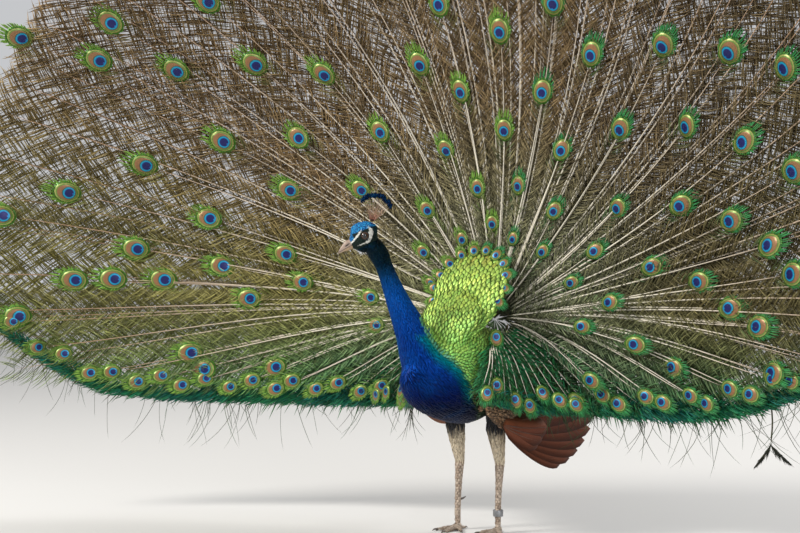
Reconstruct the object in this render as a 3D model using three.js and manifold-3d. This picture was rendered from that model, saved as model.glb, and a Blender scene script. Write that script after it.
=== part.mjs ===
// Indian peafowl cock in full display: a standing bird with its train raised as a forward-curled fan.
// Millimetres, +Z up. The bird faces -Y, and its left side is +X.
// Places are given as [x, forward, up] from the point on the floor between its legs.
import * as THREE from 'three';
import { mergeVertices } from 'three/addons/utils/BufferGeometryUtils.js';
import Module from 'manifold-3d';

const wasm = await Module();
wasm.setup();

const { abs, cos, max, min, PI, sin, sqrt } = Math;
const degree = PI / 180;
const gap = 0.4; // clearance between neighbouring pieces
const edgeTiny = 0.001;

// ---------- driving dimensions ----------
const bodyTurn = -20; // how far the breast has swung towards the bird's right
const trunkStations = [
  { at: [0, -150, 452], half: [26, 28] },
  { at: [0, -96, 430], half: [70, 66] },
  { at: [-2, -20, 400], half: [93, 102] },
  { at: [-10, 60, 380], half: [101, 122] },
  { at: [bodyTurn, 140, 374], half: [98, 116] },
  { at: [-40, 212, 372], half: [88, 99] },
  { at: [-50, 268, 380], half: [50, 58] },
];
const neckStations = [
  { at: [-22, 132, 350], half: [70, 66] },
  { at: [-42, 186, 410], half: [70, 68] },
  { at: [-58, 226, 480], half: [42, 44] },
  { at: [-84, 246, 552], half: [28, 29] },
  { at: [-108, 260, 622], half: [21, 22.5] },
  { at: [-115, 276, 655], half: [25, 26] },
  { at: [-129, 288, 683], half: [24.5, 26] },
  { at: [-134, 295, 706], half: [13, 16] },
];
const neckCuts = [
  { at: [-60, 228, 486], facing: [-24, 18, 70], size: 130 },
  { at: [-97, 253, 590], facing: [-24, 14, 70], size: 90 },
  { at: [-111, 265, 632], facing: [-14, 16, 34], size: 72 },
];
const headCentre = [-141, 305, 697];
const headTurn = 54; // degrees from straight ahead, to the bird's right
const headDip = 28; // degrees that the bill points below level
const headStations = [
  { at: [-38, 0, 5], half: [12, 16] },
  { at: [-24, 0, 4], half: [17.5, 28] },
  { at: [-5, 0, -0.5], half: [19, 35] },
  { at: [13, 0, -4.5], half: [16.5, 31] },
  { at: [28, 0, -5], half: [11.5, 18.5] },
  { at: [37, 0, -5], half: [5.5, 9] },
];
const billStations = [
  { at: [22, 0, -4], half: [8, 12] },
  { at: [37, 0, -3.5], half: [8, 12.5] },
  { at: [49, 0, -3.8], half: [5.8, 9.2] },
  { at: [60, 0, -6], half: [3, 5] },
  { at: [67, 0, -9], half: [0.9, 1.5] },
];
const gapeHeight = -7.8;
const eyeRadius = 7;
const eyePlace = [-4, 12.4, -1.5];
const crestFeathers = 8;
const crestLength = 63;
const crestFromLean = 9;
const crestToLean = 82;
const crestRoot = [-33, 0, 25.5];
const crestRootRadius = 4.2;
const crestFalloff = 0.16; // how much shorter the outermost crest feathers are
const crestStagger = 1.2;
const crestShaft = 0.7;
const crestWeb = { half: 4.9, end: 3, thick: 1.1 };

const shieldStations = [
  { at: [-14, 128, 446], half: [44, 20] },
  { at: [-6, 96, 500], half: [84, 30] },
  { at: [0, 56, 572], half: [101, 27] },
  { at: [0, 6, 636], half: [86, 18] },
  { at: [0, -26, 668], half: [34, 8] },
];

const fanRoot = { forward: -70, up: 500 };
const fanLean = -6 * degree; // the fan starts leaning a little back
const fanCurl = (42 * degree) / 1000; // and curls forward this much per millimetre
const fanReach = 1440; // along a feather, from the root to the tip
const fanInner = 48;
const fanRingSplit = 600;
const fanThickness = 1;
const fanRibHeight = 1.1;
const fanEdgeDrop = 205; // how far below the root the lower edge hangs
const fanEdgeRise = {
  left: { from: 650, slope: 0.4 }, // and where and how steeply its far ends rise again
  right: { from: 1110, slope: 0.8 },
};
const fanEdgeSoftness = 120;
const outerGores = 12;
const innerGores = 6;
const lobesPerGore = 4;
const lobeDepth = 46;

const hedgeHalfHeight = 21;
const hedgeHalfThickness = 9;
const hedgeTaper = 0.55; // how much thinner its far end is
const hedgeNear = [
  { at: [112, 150, 306], half: [6, 12] },
  { at: [140, 96, 299], half: [8, 17] },
  { at: [186, 28, 293], half: [9, 20] },
];
const hedgeFrom = 310;
const hedgeTo = 1330;

const tailBehind = 16;
const tailReach = 470;
const tailLobe = 28;
const tailSpread = 82 * degree;
const tailFeathers = 9;
const tailThickness = 3;
const tailStep = 1.2; // how far each tail feather's middle stands back from its edges

const fluffStations = [
  { at: [0, -132, 470], half: [46, 34] },
  { at: [0, -168, 418], half: [82, 52] },
  { at: [0, -150, 345], half: [76, 50] },
  { at: [0, -116, 292], half: [30, 24] },
];

const covertStations = [
  { at: [86, 150, 318], half: [8, 22] },
  { at: [102, 100, 298], half: [16, 44] },
  { at: [108, 30, 294], half: [19, 58] },
  { at: [111, -50, 298], half: [14, 50] },
  { at: [109, -116, 300], half: [6, 26] },
];
const primaryCount = 10;
const primaryRoot = [108, 84, 238];
const primaryShort = 240;
const primaryLong = 398;
const primaryUpper = -13; // degrees below straight back of the uppermost feather
const primaryLower = 20;
const primaryThickness = 2.4;
const primaryLobe = 0.05;
const wingLift = { left: 0, right: 26 }; // the right wing is held a little higher
const primaryLift = { left: 0, right: 60 };
const primaryTurn = { left: 0, right: -8 };
const primarySplay = 5; // degrees that the feather tips stand out from the body

const legSide = 54;
const legForward = 16;
const hockHeight = 160;
const legStations = [
  { at: [0, 4, 318], half: [30, 44] },
  { at: [0, 12, 262], half: [27, 36] },
  { at: [0, 2, 212], half: [18, 21] },
  { at: [0, -8, hockHeight + 8], half: [11.5, 12.5] },
  { at: [0, -8, hockHeight - 8], half: [10.5, 11.5] },
  { at: [0, -4, 110], half: [8, 9] },
  { at: [0, 0, 52], half: [7.8, 8.8] },
  { at: [0, 0, 10], half: [10, 10] },
];
const legCuts = [222, hockHeight + 20, 19];
const toes = [
  { name: 'middle', turn: 0, length: 66, half: 7, claw: 15 },
  { name: 'inner', turn: 38, length: 50, half: 6.4, claw: 13 },
  { name: 'outer', turn: -36, length: 54, half: 6.4, claw: 13 },
  { name: 'hind', turn: 168, length: 26, half: 4.6, claw: 9 },
];
const spurHeight = 72;
const spurLength = 17;
const spurRadius = 3.6;
const bandFrom = 40;
const bandTo = 55;
const bandInner = 10.6;
const bandOuter = 12;

// ---------- materials ----------
function paint(name, color, roughness, metalness = 0) {
  return new THREE.MeshStandardMaterial({ name, color, roughness, metalness });
}

const peacockBlue = paint('peacock_blue', 0x1238b4, 0.4, 0.2);
const crownBlue = paint('crown_blue', 0x0c3f9e, 0.45, 0.2);
const hornGrey = paint('bill_horn', 0xa08a80, 0.5);
const darkIris = paint('dark_iris', 0x1a0f0a, 0.08);
const crestBlue = paint('crest_blue', 0x0a2a7a, 0.5);
const scaleGold = paint('scale_gold', 0x93a832, 0.4, 0.3);
const barredBuff = paint('barred_buff', 0x8a7458, 0.8);
const chestnut = paint('chestnut', 0x8c4426, 0.75);
const buffDown = paint('buff_down', 0xcbb894, 0.95);
const shankSkin = paint('shank_skin', 0xb9a08c, 0.6);
const clawHorn = paint('claw_horn', 0x4a3c32, 0.4);
const bandMetal = paint('band_metal', 0x8f9295, 0.35, 0.9);
const trainGreen = paint('train_green', 0x5f7a35, 0.6, 0.1);
const hedgeGreen = paint('edge_green', 0x067348, 0.55, 0.1);
const tailBrown = paint('tail_brown', 0x6f6154, 0.85);
const greyDown = paint('grey_down', 0x8d867e, 0.95);

// ---------- shaping ----------
function place([x, forward, up]) {
  return new THREE.Vector3(x, -forward, up);
}

function signedVolume(geometry) {
  const at = geometry.attributes.position;
  const index = geometry.index;
  const corners = [new THREE.Vector3(), new THREE.Vector3(), new THREE.Vector3()];
  let sum = 0;
  for (let i = 0; i < index.count; i += 3) {
    corners.forEach((corner, k) => corner.fromBufferAttribute(at, index.getX(i + k)));
    sum += corners[0].dot(corners[1].cross(corners[2]));
  }
  return sum / 6;
}

function turnOut(geometry) {
  if (signedVolume(geometry) > 0) return geometry;
  const index = geometry.index;
  for (let i = 0; i < index.count; i += 3) {
    const second = index.getX(i + 1);
    index.setX(i + 1, index.getX(i + 2));
    index.setX(i + 2, second);
  }
  return geometry;
}

// Moves every corner of a closed geometry to where the rule puts it.
function formed(geometry, rule) {
  const bare = geometry.clone();
  bare.deleteAttribute('normal');
  bare.deleteAttribute('uv');
  const at = bare.attributes.position;
  const point = new THREE.Vector3();
  for (let i = 0; i < at.count; i += 1) {
    point.fromBufferAttribute(at, i);
    const moved = rule(point);
    at.setXYZ(i, moved.x, moved.y, moved.z);
  }
  return turnOut(mergeVertices(bare, edgeTiny));
}

function solidOf(geometry) {
  return new wasm.Manifold(new wasm.Mesh({
    numProp: 3,
    vertProperties: new Float32Array(geometry.attributes.position.array),
    triVerts: new Uint32Array(geometry.index.array),
  }));
}

function bareSolid(geometry) {
  return solidOf(formed(geometry, (point) => point));
}

// A rounded body along a line of stations. Each has its centre and its half width and half depth.
function sweptBody(stations, options = {}) {
  const { around = 16, along = 12, grow = 0, fullness = 1, across = [1, 0, 0] } = options;
  const locate = options.locate || place;
  const centres = new THREE.CatmullRomCurve3(stations.map((station) => locate(station.at)));
  const halves = new THREE.CatmullRomCurve3(
    stations.map((station) => new THREE.Vector3(station.half[0], station.half[1], 0)),
  );
  const acrossRef = new THREE.Vector3(...across);
  return formed(new THREE.SphereGeometry(1, around, along), (point) => {
    const t = min(1, max(0, (1 - point.y) / 2));
    const rounding = sqrt(max(0, 1 - point.y * point.y));
    const reach = rounding < edgeTiny ? 0 : rounding ** fullness;
    const angle = Math.atan2(point.z, point.x);
    const along1 = centres.getTangent(t);
    const deep = new THREE.Vector3().crossVectors(acrossRef, along1).normalize();
    const wide = new THREE.Vector3().crossVectors(along1, deep).normalize();
    const half = halves.getPoint(t);
    return centres.getPoint(t)
      .addScaledVector(wide, cos(angle) * reach * (half.x + grow))
      .addScaledVector(deep, sin(angle) * reach * (half.y + grow))
      .addScaledVector(along1, -point.y * grow);
  });
}

function sweptSolid(stations, options) {
  return solidOf(sweptBody(stations, options));
}

function joined(solids) {
  return solids.reduce((sum, solid) => sum.add(solid));
}

function cutBy(solid, cutters) {
  return cutters.reduce((rest, cutter) => rest.subtract(cutter), solid);
}

// A thin slab that parts a body square to the given direction.
function partingSlab(centre, facing, size) {
  const slab = new THREE.BoxGeometry(size, size, gap);
  const turn = new THREE.Quaternion().setFromUnitVectors(
    new THREE.Vector3(0, 0, 1),
    place(facing).normalize(),
  );
  slab.applyQuaternion(turn);
  slab.translate(...place(centre).toArray());
  return bareSolid(slab);
}

function midHeight(solid) {
  const box = solid.boundingBox();
  return (box.min[2] + box.max[2]) / 2;
}

function biggest(solid) {
  return solid.decompose().sort((a, b) => b.volume() - a.volume())[0];
}

function piecesFromTop(solid, count) {
  const pieces = solid.decompose().sort((a, b) => b.volume() - a.volume()).slice(0, count);
  return pieces.sort((a, b) => midHeight(b) - midHeight(a));
}

const bird = new THREE.Group();

function addPiece(name, solid, material) {
  const source = solid.getMesh();
  const geometry = new THREE.BufferGeometry();
  geometry.setAttribute('position', new THREE.BufferAttribute(new Float32Array(source.vertProperties), 3));
  geometry.setIndex(new THREE.BufferAttribute(new Uint32Array(source.triVerts), 1));
  geometry.computeVertexNormals();
  const mesh = new THREE.Mesh(geometry, material);
  mesh.name = name;
  bird.add(mesh);
}

// ---------- head ----------
const headForward = new THREE.Vector3(-sin(headTurn * degree), -cos(headTurn * degree), 0)
  .multiplyScalar(cos(headDip * degree))
  .add(new THREE.Vector3(0, 0, -sin(headDip * degree)));
const headLeft = new THREE.Vector3(0, 0, 1).cross(headForward).normalize();
const headUp = new THREE.Vector3().crossVectors(headForward, headLeft).normalize();

function headPlace([forward, left, up]) {
  return place(headCentre)
    .addScaledVector(headForward, forward)
    .addScaledVector(headLeft, left)
    .addScaledVector(headUp, up);
}

function headSwept(stations, options) {
  return sweptSolid(stations, { locate: headPlace, across: headLeft.toArray(), ...options });
}

function headBall(radius, at) {
  const ball = new THREE.SphereGeometry(radius, 9, 6);
  ball.translate(...headPlace(at).toArray());
  return bareSolid(ball);
}

function crest() {
  const root = new THREE.SphereGeometry(crestRootRadius, 6, 4);
  root.translate(...headPlace(crestRoot).toArray());
  const feathers = [];
  for (let i = 0; i < crestFeathers; i += 1) {
    const part = i / (crestFeathers - 1);
    const lean = (crestFromLean + (crestToLean - crestFromLean) * part) * degree;
    const length = crestLength * (1 - crestFalloff * (2 * part - 1) ** 2);
    const step = ([out, side]) => [crestRoot[0] - sin(lean) * out, side, crestRoot[2] + cos(lean) * out];
    const sideways = (i % 2 ? 1 : -1) * crestStagger;
    const shaft = [[0, 0], [length * 0.5, sideways * 0.5], [length * 0.86, sideways]];
    const web = [[length * 0.74, sideways], [length * 0.9, sideways], [length, sideways]];
    feathers.push(headSwept(
      shaft.map((at) => ({ at: step(at), half: [crestShaft, crestShaft] })),
      { around: 3, along: 3, fullness: 0.3 },
    ));
    feathers.push(headSwept(
      web.map((at, k) => ({ at: step(at), half: [crestWeb.thick, k === 1 ? crestWeb.half : crestWeb.end] })),
      { around: 4, along: 4, fullness: 0.8 },
    ));
  }
  return joined([bareSolid(root), ...feathers]);
}

// ---------- trunk, neck and head, parted from one body ----------
function trunkSolid(grow = 0) {
  return sweptSolid(trunkStations, { around: 16, along: 12, grow });
}

function neckSolid(grow = 0) {
  return sweptSolid(neckStations, { around: 12, along: 11, grow, fullness: 0.5 });
}

function headSolid(grow = 0) {
  return headSwept(headStations, { around: 12, along: 9, grow, fullness: 0.7 });
}

const slabs = neckCuts.map(({ at, facing, size }) => partingSlab(at, facing, size));
const eyes = { left: eyePlace, right: [eyePlace[0], -eyePlace[1], eyePlace[2]] };
const sockets = Object.values(eyes).map((at) => headBall(eyeRadius + gap, at));
const wholeBody = cutBy(joined([trunkSolid(), neckSolid(), headSolid()]), slabs);
const [head, neckUpper, neckLower, trunk] = piecesFromTop(wholeBody, 4);
const bodyGrown = joined([trunkSolid(gap), neckSolid(gap)]);

addPiece('trunk', trunk, peacockBlue);
addPiece('neck_lower', neckLower, peacockBlue);
addPiece('neck_upper', neckUpper, peacockBlue);
addPiece('head', cutBy(head, sockets), crownBlue);

Object.entries(eyes).forEach(([side, at]) => {
  addPiece(`eye_${side}`, headBall(eyeRadius, at), darkIris);
});

function gapeSlab() {
  const slab = new THREE.BoxGeometry(60, 40, gap);
  const turn = new THREE.Matrix4().makeBasis(headForward, headLeft, headUp);
  slab.applyMatrix4(turn);
  slab.translate(...headPlace([50, 0, gapeHeight]).toArray());
  return bareSolid(slab);
}

const bill = cutBy(headSwept(billStations, { around: 8, along: 6, fullness: 0.5 }), [
  headSolid(gap),
  gapeSlab(),
]);
const [billUpper, billLower] = piecesFromTop(bill, 2);
addPiece('bill_upper', billUpper, hornGrey);
addPiece('bill_lower', billLower, hornGrey);
addPiece('crest', biggest(cutBy(crest(), [headSolid(gap)])), crestBlue);

// ---------- the fan ----------
// A place on the fan: turn from straight up, distance along the feather, and height over its front face.
function fanPlace(turn, along, over) {
  const bend = fanLean + fanCurl * along;
  const out = (sin(bend) - sin(fanLean)) / fanCurl;
  const forward = (cos(fanLean) - cos(bend)) / fanCurl;
  return new THREE.Vector3(
    sin(turn) * (out - over * sin(bend)),
    -(fanRoot.forward + forward) - over * cos(bend),
    fanRoot.up + cos(turn) * (out - over * sin(bend)),
  );
}

function fanOut(along) {
  return (sin(fanLean + fanCurl * along) - sin(fanLean)) / fanCurl;
}

// The widest turn at a distance along: the lower edge hangs level, then rises at its far ends.
function fanWidest(along, side) {
  const { from, slope } = side > 0 ? fanEdgeRise.left : fanEdgeRise.right;
  const past = along - from;
  const rise = slope * (sqrt(past * past + fanEdgeSoftness ** 2) + past) * 0.5;
  return PI / 2 + Math.asin(min(0.9, (fanEdgeDrop - rise) / fanOut(along)));
}

// A flat plate of small panels, each parted the same way on its front and its back, so a thin one stays even.
function panelPlate(columns, rows) {
  const box = new THREE.BoxGeometry(1, 1, 1, columns, rows, 1);
  const back = box.groups[5];
  for (let i = back.start; i < back.start + back.count; i += 6) {
    const [a, b, d, , c] = box.index.array.slice(i, i + 6);
    [a, b, c, a, c, d].forEach((corner, k) => box.index.setX(i + k, corner));
  }
  return box;
}

// One gore: a thin curved plate, ribbed along its feathers, with a lobed edge where it is outermost.
function gore(from, to, near, far, lobes, rows, grow = 0) {
  const columns = lobes * 2;
  return solidOf(formed(panelPlate(columns, rows), (point) => {
    const across = point.x + 0.5;
    const column = Math.round(across * columns);
    const isRib = column % 2 === 1;
    const level = point.y + 0.5;
    const share = from + (to - from) * across;
    const tip = far || fanReach - (isRib ? 0 : lobeDepth);
    const along = near + (tip - near) * level;
    const spare = (gap - 2 * grow) / max(60, fanOut(along));
    const edges = across - 0.5;
    const turn = share * fanWidest(along, share) - 2 * edges * spare;
    const side = point.z > 0 ? 1 : -1;
    const over = side * (fanThickness * 0.5 + grow) + (isRib ? fanRibHeight : 0);
    return fanPlace(turn, along + grow * Math.sign(level - 0.5), over);
  }));
}

function hedge(side, grow = 0) {
  const stations = hedgeNear.map(({ at, half }) => ({ at: [side * at[0], at[1], at[2]], half }));
  const steps = 7;
  for (let i = 0; i <= steps; i += 1) {
    const along = hedgeFrom + (hedgeTo - hedgeFrom) * (i / steps);
    const spot = fanPlace(side * fanWidest(along, side), along, 0);
    const taper = 1 - hedgeTaper * (i / steps) ** 3;
    stations.push({
      at: [spot.x, -spot.y, spot.z],
      half: [hedgeHalfThickness * taper, hedgeHalfHeight * taper],
    });
  }
  return sweptSolid(stations, { around: 8, along: 13, grow, fullness: 0.45, across: [0, 1, 0] });
}

// The stiff true tail that props the train up from behind. Its spread is the turn from straight up to its side.
function tailPlate(near, far, spread, thickness) {
  const columns = tailFeathers * 2;
  return solidOf(formed(panelPlate(columns, 2), (point) => {
    const across = point.x + 0.5;
    const isMiddle = Math.round(across * columns) % 2 === 1;
    const along = near + (far - near - (isMiddle ? 0 : tailLobe)) * (point.y + 0.5);
    const over = -tailBehind + point.z * thickness - (isMiddle ? tailStep : 0);
    return fanPlace(spread * (2 * across - 1), along, over);
  }));
}

const tail = tailPlate(fanInner, tailReach, tailSpread, tailThickness);
const tailRoom = tailPlate(
  fanInner - gap,
  tailReach + gap,
  tailSpread + gap / fanInner,
  tailThickness + 2 * gap,
);
addPiece('tail', cutBy(tail, [bodyGrown]), tailBrown);

function shieldSolid(grow = 0) {
  return sweptSolid(shieldStations, { around: 12, along: 9, grow, fullness: 0.6 });
}

const hedges = { left: hedge(1), right: hedge(-1) };
const hedgeRoom = joined([hedge(1, gap), hedge(-1, gap)]);
const fanRoom = joined([hedgeRoom, bodyGrown, shieldSolid(gap)]);

function innerGore(i, grow = 0) {
  const from = -1 + (2 * i) / innerGores;
  return gore(from, from + 2 / innerGores, fanInner, fanRingSplit - gap, 3, 4, grow);
}

const innerRoom = joined([...Array(innerGores).keys()].map((i) => innerGore(i, gap)));
for (let i = 0; i < innerGores; i += 1) {
  addPiece(`train_inner_${i + 1}`, biggest(cutBy(innerGore(i), [fanRoom])), trainGreen);
}
for (let i = 0; i < outerGores; i += 1) {
  const from = -1 + (2 * i) / outerGores;
  const plate = gore(from, from + 2 / outerGores, fanRingSplit, 0, lobesPerGore, 4);
  addPiece(`train_outer_${i + 1}`, biggest(cutBy(plate, [fanRoom])), trainGreen);
}
addPiece('shield', biggest(cutBy(shieldSolid(), [bodyGrown])), scaleGold);

// ---------- under-tail down ----------
function fluffSolid(grow = 0) {
  return sweptSolid(fluffStations, { around: 10, along: 8, grow, fullness: 0.7 });
}

const fluff = cutBy(fluffSolid(), [
  bodyGrown,
  tailRoom,
  hedgeRoom,
  innerRoom,
]);
addPiece('under_tail', biggest(fluff), greyDown);

// ---------- legs ----------
function alongToe(turn, side) {
  return (out, up) => [
    side * (legSide - sin(turn * degree) * out),
    legForward + cos(turn * degree) * out,
    up,
  ];
}

function toeStations({ turn, length, half }, side) {
  const reach = alongToe(turn, side);
  return [
    { at: reach(-2, 10), half: [half, half] },
    { at: reach(length * 0.3, half * 0.9), half: [half, half] },
    { at: reach(length * 0.75, half * 0.7), half: [half * 0.85, half * 0.8] },
    { at: reach(length, half * 0.62), half: [half * 0.62, half * 0.62] },
  ];
}

function clawStations({ turn, length, half, claw }, side) {
  const reach = alongToe(turn, side);
  return [
    { at: reach(length - 4, half * 0.66), half: [half * 0.5, half * 0.5] },
    { at: reach(length + claw * 0.45, half * 0.72), half: [half * 0.36, half * 0.42] },
    { at: reach(length + claw, half * 0.3), half: [0.5, 0.5] },
  ];
}

const floorCut = bareSolid(new THREE.BoxGeometry(600, 600, 100).translate(0, 0, -50));

function footParts(side, grow = 0) {
  return joined(toes.map((toe) => sweptSolid(
    toeStations(toe, side),
    { around: 6, along: 3, grow, fullness: 0.5, across: [0, 0, 1] },
  )));
}

function legColumn(side, grow = 0) {
  const stations = legStations.map(({ at, half }) => ({
    at: [side * (legSide + at[0]), legForward + at[1], at[2]],
    half,
  }));
  return sweptSolid(stations, { around: 10, along: 14, grow, fullness: 0.4 });
}

function spur(side) {
  const back = (out, inward, up) => [side * (legSide - inward), legForward - out, spurHeight + up];
  return sweptSolid([
    { at: back(2, 1, 0), half: [spurRadius, spurRadius] },
    { at: back(8 + spurLength * 0.4, 5, 1), half: [spurRadius * 0.7, spurRadius * 0.7] },
    { at: back(7 + spurLength, 9, 5), half: [spurRadius * 0.17, spurRadius * 0.17] },
  ], { around: 6, along: 4, fullness: 0.5 });
}

function legBand() {
  const profile = [
    new THREE.Vector2(bandInner, bandFrom),
    new THREE.Vector2(bandOuter, bandFrom),
    new THREE.Vector2(bandOuter, bandTo),
    new THREE.Vector2(bandInner, bandTo),
    new THREE.Vector2(bandInner, bandFrom),
  ];
  const ring = new THREE.LatheGeometry(profile, 14);
  ring.rotateX(PI / 2);
  ring.translate(legSide, -legForward, 0);
  return bareSolid(ring);
}

Object.entries({ left: 1, right: -1 }).forEach(([name, side]) => {
  const across = side * legSide;
  const cuts = legCuts.map((height) => partingSlab([across, legForward, height], [0, 0, 1], 104));
  const whole = cutBy(joined([legColumn(side), footParts(side)]), [floorCut, ...cuts]);
  const [thigh, shank, tarsus, foot] = piecesFromTop(whole, 4);
  addPiece(`thigh_${name}`, biggest(cutBy(thigh, [trunkSolid(gap)])), greyDown);
  addPiece(`shank_${name}`, shank, buffDown);
  addPiece(`tarsus_${name}`, tarsus, shankSkin);
  addPiece(`foot_${name}`, foot, shankSkin);
  toes.forEach((toe) => {
    const shape = { around: 5, along: 4, fullness: 0.5, across: [0, 0, 1] };
    const claw = sweptSolid(clawStations(toe, side), shape);
    const free = cutBy(claw, [footParts(side, gap), floorCut]);
    addPiece(`claw_${name}_${toe.name}`, biggest(free), clawHorn);
  });
  addPiece(`spur_${name}`, biggest(cutBy(spur(side), [legColumn(side, gap)])), clawHorn);
});
addPiece('leg_band', legBand(), bandMetal);

// ---------- wings ----------
function primaryOutline(turned) {
  const shape = new THREE.Shape();
  const steps = primaryCount * 3;
  shape.moveTo(-30, 40);
  for (let i = 0; i <= steps; i += 1) {
    const part = i / steps;
    const bearing = (turned + primaryUpper + (primaryLower - primaryUpper) * part) * degree;
    const length = primaryLong - (primaryLong - primaryShort) * part ** 1.5;
    const lobe = abs(sin(part * primaryCount * PI));
    const reach = length * (1 - primaryLobe * (1 - sqrt(lobe)));
    shape.lineTo(cos(bearing) * reach, -sin(bearing) * reach);
  }
  shape.lineTo(60, -44);
  shape.lineTo(-10, -22);
  shape.closePath();
  return shape;
}

function primaries(name, side) {
  const outline = primaryOutline(primaryTurn[name]);
  const plate = new THREE.ExtrudeGeometry(outline, { depth: primaryThickness, bevelEnabled: false });
  const splay = Math.tan(primarySplay * degree);
  const [x, forward, up] = primaryRoot;
  return solidOf(formed(mergeVertices(plate), (point) => new THREE.Vector3(
    side * (x + point.z + splay * point.x),
    -(forward - point.x),
    up + primaryLift[name] + point.y,
  )));
}

Object.entries({ left: 1, right: -1 }).forEach(([name, side]) => {
  const stations = covertStations.map(({ at, half }) => ({
    at: [side * at[0], at[1], at[2] + wingLift[name]],
    half,
  }));
  const options = { around: 10, along: 8, fullness: 0.7 };
  const coverts = sweptSolid(stations, options);
  const covertRoom = sweptSolid(stations, { ...options, grow: gap });
  const clear = [bodyGrown, legColumn(side, gap), hedgeRoom, innerRoom];
  addPiece(`wing_coverts_${name}`, biggest(cutBy(coverts, clear)), barredBuff);
  addPiece(
    `wing_primaries_${name}`,
    biggest(cutBy(primaries(name, side), [...clear, covertRoom, fluffSolid(gap)])),
    chestnut,
  );
});
Object.entries(hedges).forEach(([name, solid]) => {
  addPiece(`train_edge_${name}`, biggest(cutBy(solid, [bodyGrown])), hedgeGreen);
});

// ---------- stand the bird over the middle of its own footprint ----------
const extent = new THREE.Box3().setFromObject(bird);
const middle = extent.getCenter(new THREE.Vector3());
bird.position.set(-middle.x, -middle.y, -extent.min.z);

export default bird;
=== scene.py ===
import math
import bmesh
import bpy
import numpy as np
from mathutils import Matrix, Vector
from mathutils.bvhtree import BVHTree


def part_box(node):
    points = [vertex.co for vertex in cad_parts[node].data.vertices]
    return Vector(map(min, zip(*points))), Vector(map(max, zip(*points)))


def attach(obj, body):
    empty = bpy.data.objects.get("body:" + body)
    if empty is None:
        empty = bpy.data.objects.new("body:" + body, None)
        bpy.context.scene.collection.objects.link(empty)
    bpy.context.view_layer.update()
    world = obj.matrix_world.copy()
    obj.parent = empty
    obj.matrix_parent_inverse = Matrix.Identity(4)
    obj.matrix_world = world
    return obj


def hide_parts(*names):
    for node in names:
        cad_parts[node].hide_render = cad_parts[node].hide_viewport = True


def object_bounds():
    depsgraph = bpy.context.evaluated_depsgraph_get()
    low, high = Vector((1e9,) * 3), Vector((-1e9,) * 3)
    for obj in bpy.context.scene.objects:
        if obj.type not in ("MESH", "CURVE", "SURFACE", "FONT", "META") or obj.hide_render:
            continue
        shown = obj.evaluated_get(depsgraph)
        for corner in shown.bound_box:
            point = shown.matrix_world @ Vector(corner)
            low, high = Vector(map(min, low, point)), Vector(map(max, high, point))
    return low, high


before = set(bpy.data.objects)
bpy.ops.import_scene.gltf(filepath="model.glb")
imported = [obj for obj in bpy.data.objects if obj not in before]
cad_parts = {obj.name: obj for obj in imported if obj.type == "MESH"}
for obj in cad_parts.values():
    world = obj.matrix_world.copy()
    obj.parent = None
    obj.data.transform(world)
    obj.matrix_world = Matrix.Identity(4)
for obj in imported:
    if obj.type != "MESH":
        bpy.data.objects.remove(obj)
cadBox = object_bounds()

rng = np.random.default_rng(20)
# the band stands round the left shank, so it says where the bird's own origin is
bandLow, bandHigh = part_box("leg_band")
origin = np.array([(bandLow.x + bandHigh.x) / 2 - 0.054, (bandLow.y + bandHigh.y) / 2 + 0.016, 0.0])


def place(spot):
    spot = np.asarray(spot, float)
    return np.stack([spot[..., 0], -spot[..., 1], spot[..., 2]], -1) / 1000 + origin


def unplace(world):
    spot = (np.asarray(world) - origin) * 1000
    return np.stack([spot[..., 0], -spot[..., 1], spot[..., 2]], -1)


def unit(rows):
    return rows / np.maximum(np.linalg.norm(rows, axis=-1, keepdims=True), 1e-9)


def smooth(value, low, high):
    share = np.clip((value - low) / (high - low), 0, 1)
    return share * share * (3 - 2 * share)


def blend(colourA, colourB, share):
    share = np.asarray(share)[..., None]
    return np.asarray(colourA) * (1 - share) + np.asarray(colourB) * share


def along(points, shares, tension=0.5):
    # points on a smooth curve through the given ones, at shares 0 to 1
    points = np.asarray(points, float)
    count = len(points)
    at = np.clip(np.asarray(shares, float), 0, 1) * (count - 1)
    base = np.minimum(at.astype(int), count - 2)
    local = (at - base)[:, None]
    padded = np.vstack([2 * points[0] - points[1], points, 2 * points[-1] - points[-2]])
    p0, p1, p2, p3 = (padded[base + k] for k in range(4))
    m1, m2 = (p2 - p0) * tension, (p3 - p1) * tension
    return ((2 * local**3 - 3 * local**2 + 1) * p1 + (local**3 - 2 * local**2 + local) * m1
            + (3 * local**2 - 2 * local**3) * p2 + (local**3 - local**2) * m2)


def walkedAlong(points):
    return np.r_[0, np.cumsum(np.linalg.norm(np.diff(points, axis=0), axis=1))]


# camera and light
view = {"lens": 72.0, "sensor": 36.0, "away": 3.81, "aside": 0.193, "height": 0.628, "yaw": math.radians(31)}
cameraData = bpy.data.cameras.new("camera")
cameraData.lens = view["lens"]
cameraData.sensor_width = view["sensor"]
camera = bpy.data.objects.new("camera", cameraData)
bpy.context.collection.objects.link(camera)
look = np.array([-math.sin(view["yaw"]), math.cos(view["yaw"]), 0])
right = np.array([math.cos(view["yaw"]), math.sin(view["yaw"]), 0])
camera.location = Vector(origin - look * view["away"] - right * view["aside"]) + Vector((0, 0, view["height"]))
camera.rotation_euler = (math.pi / 2, 0, view["yaw"])
cameraData.clip_end = 200
bpy.context.scene.camera = camera
bpy.context.scene.view_settings.view_transform = "Standard"


def addLight(name, spot, aim, size, power, colour):
    data = bpy.data.lights.new(name, "AREA")
    data.shape = "DISK"
    data.size = size
    data.energy = power
    data.color = colour
    lamp = bpy.data.objects.new(name, data)
    bpy.context.collection.objects.link(lamp)
    lamp.location = spot
    lamp.rotation_euler = (Vector(aim) - Vector(spot)).to_track_quat("-Z", "Y").to_euler()


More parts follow.
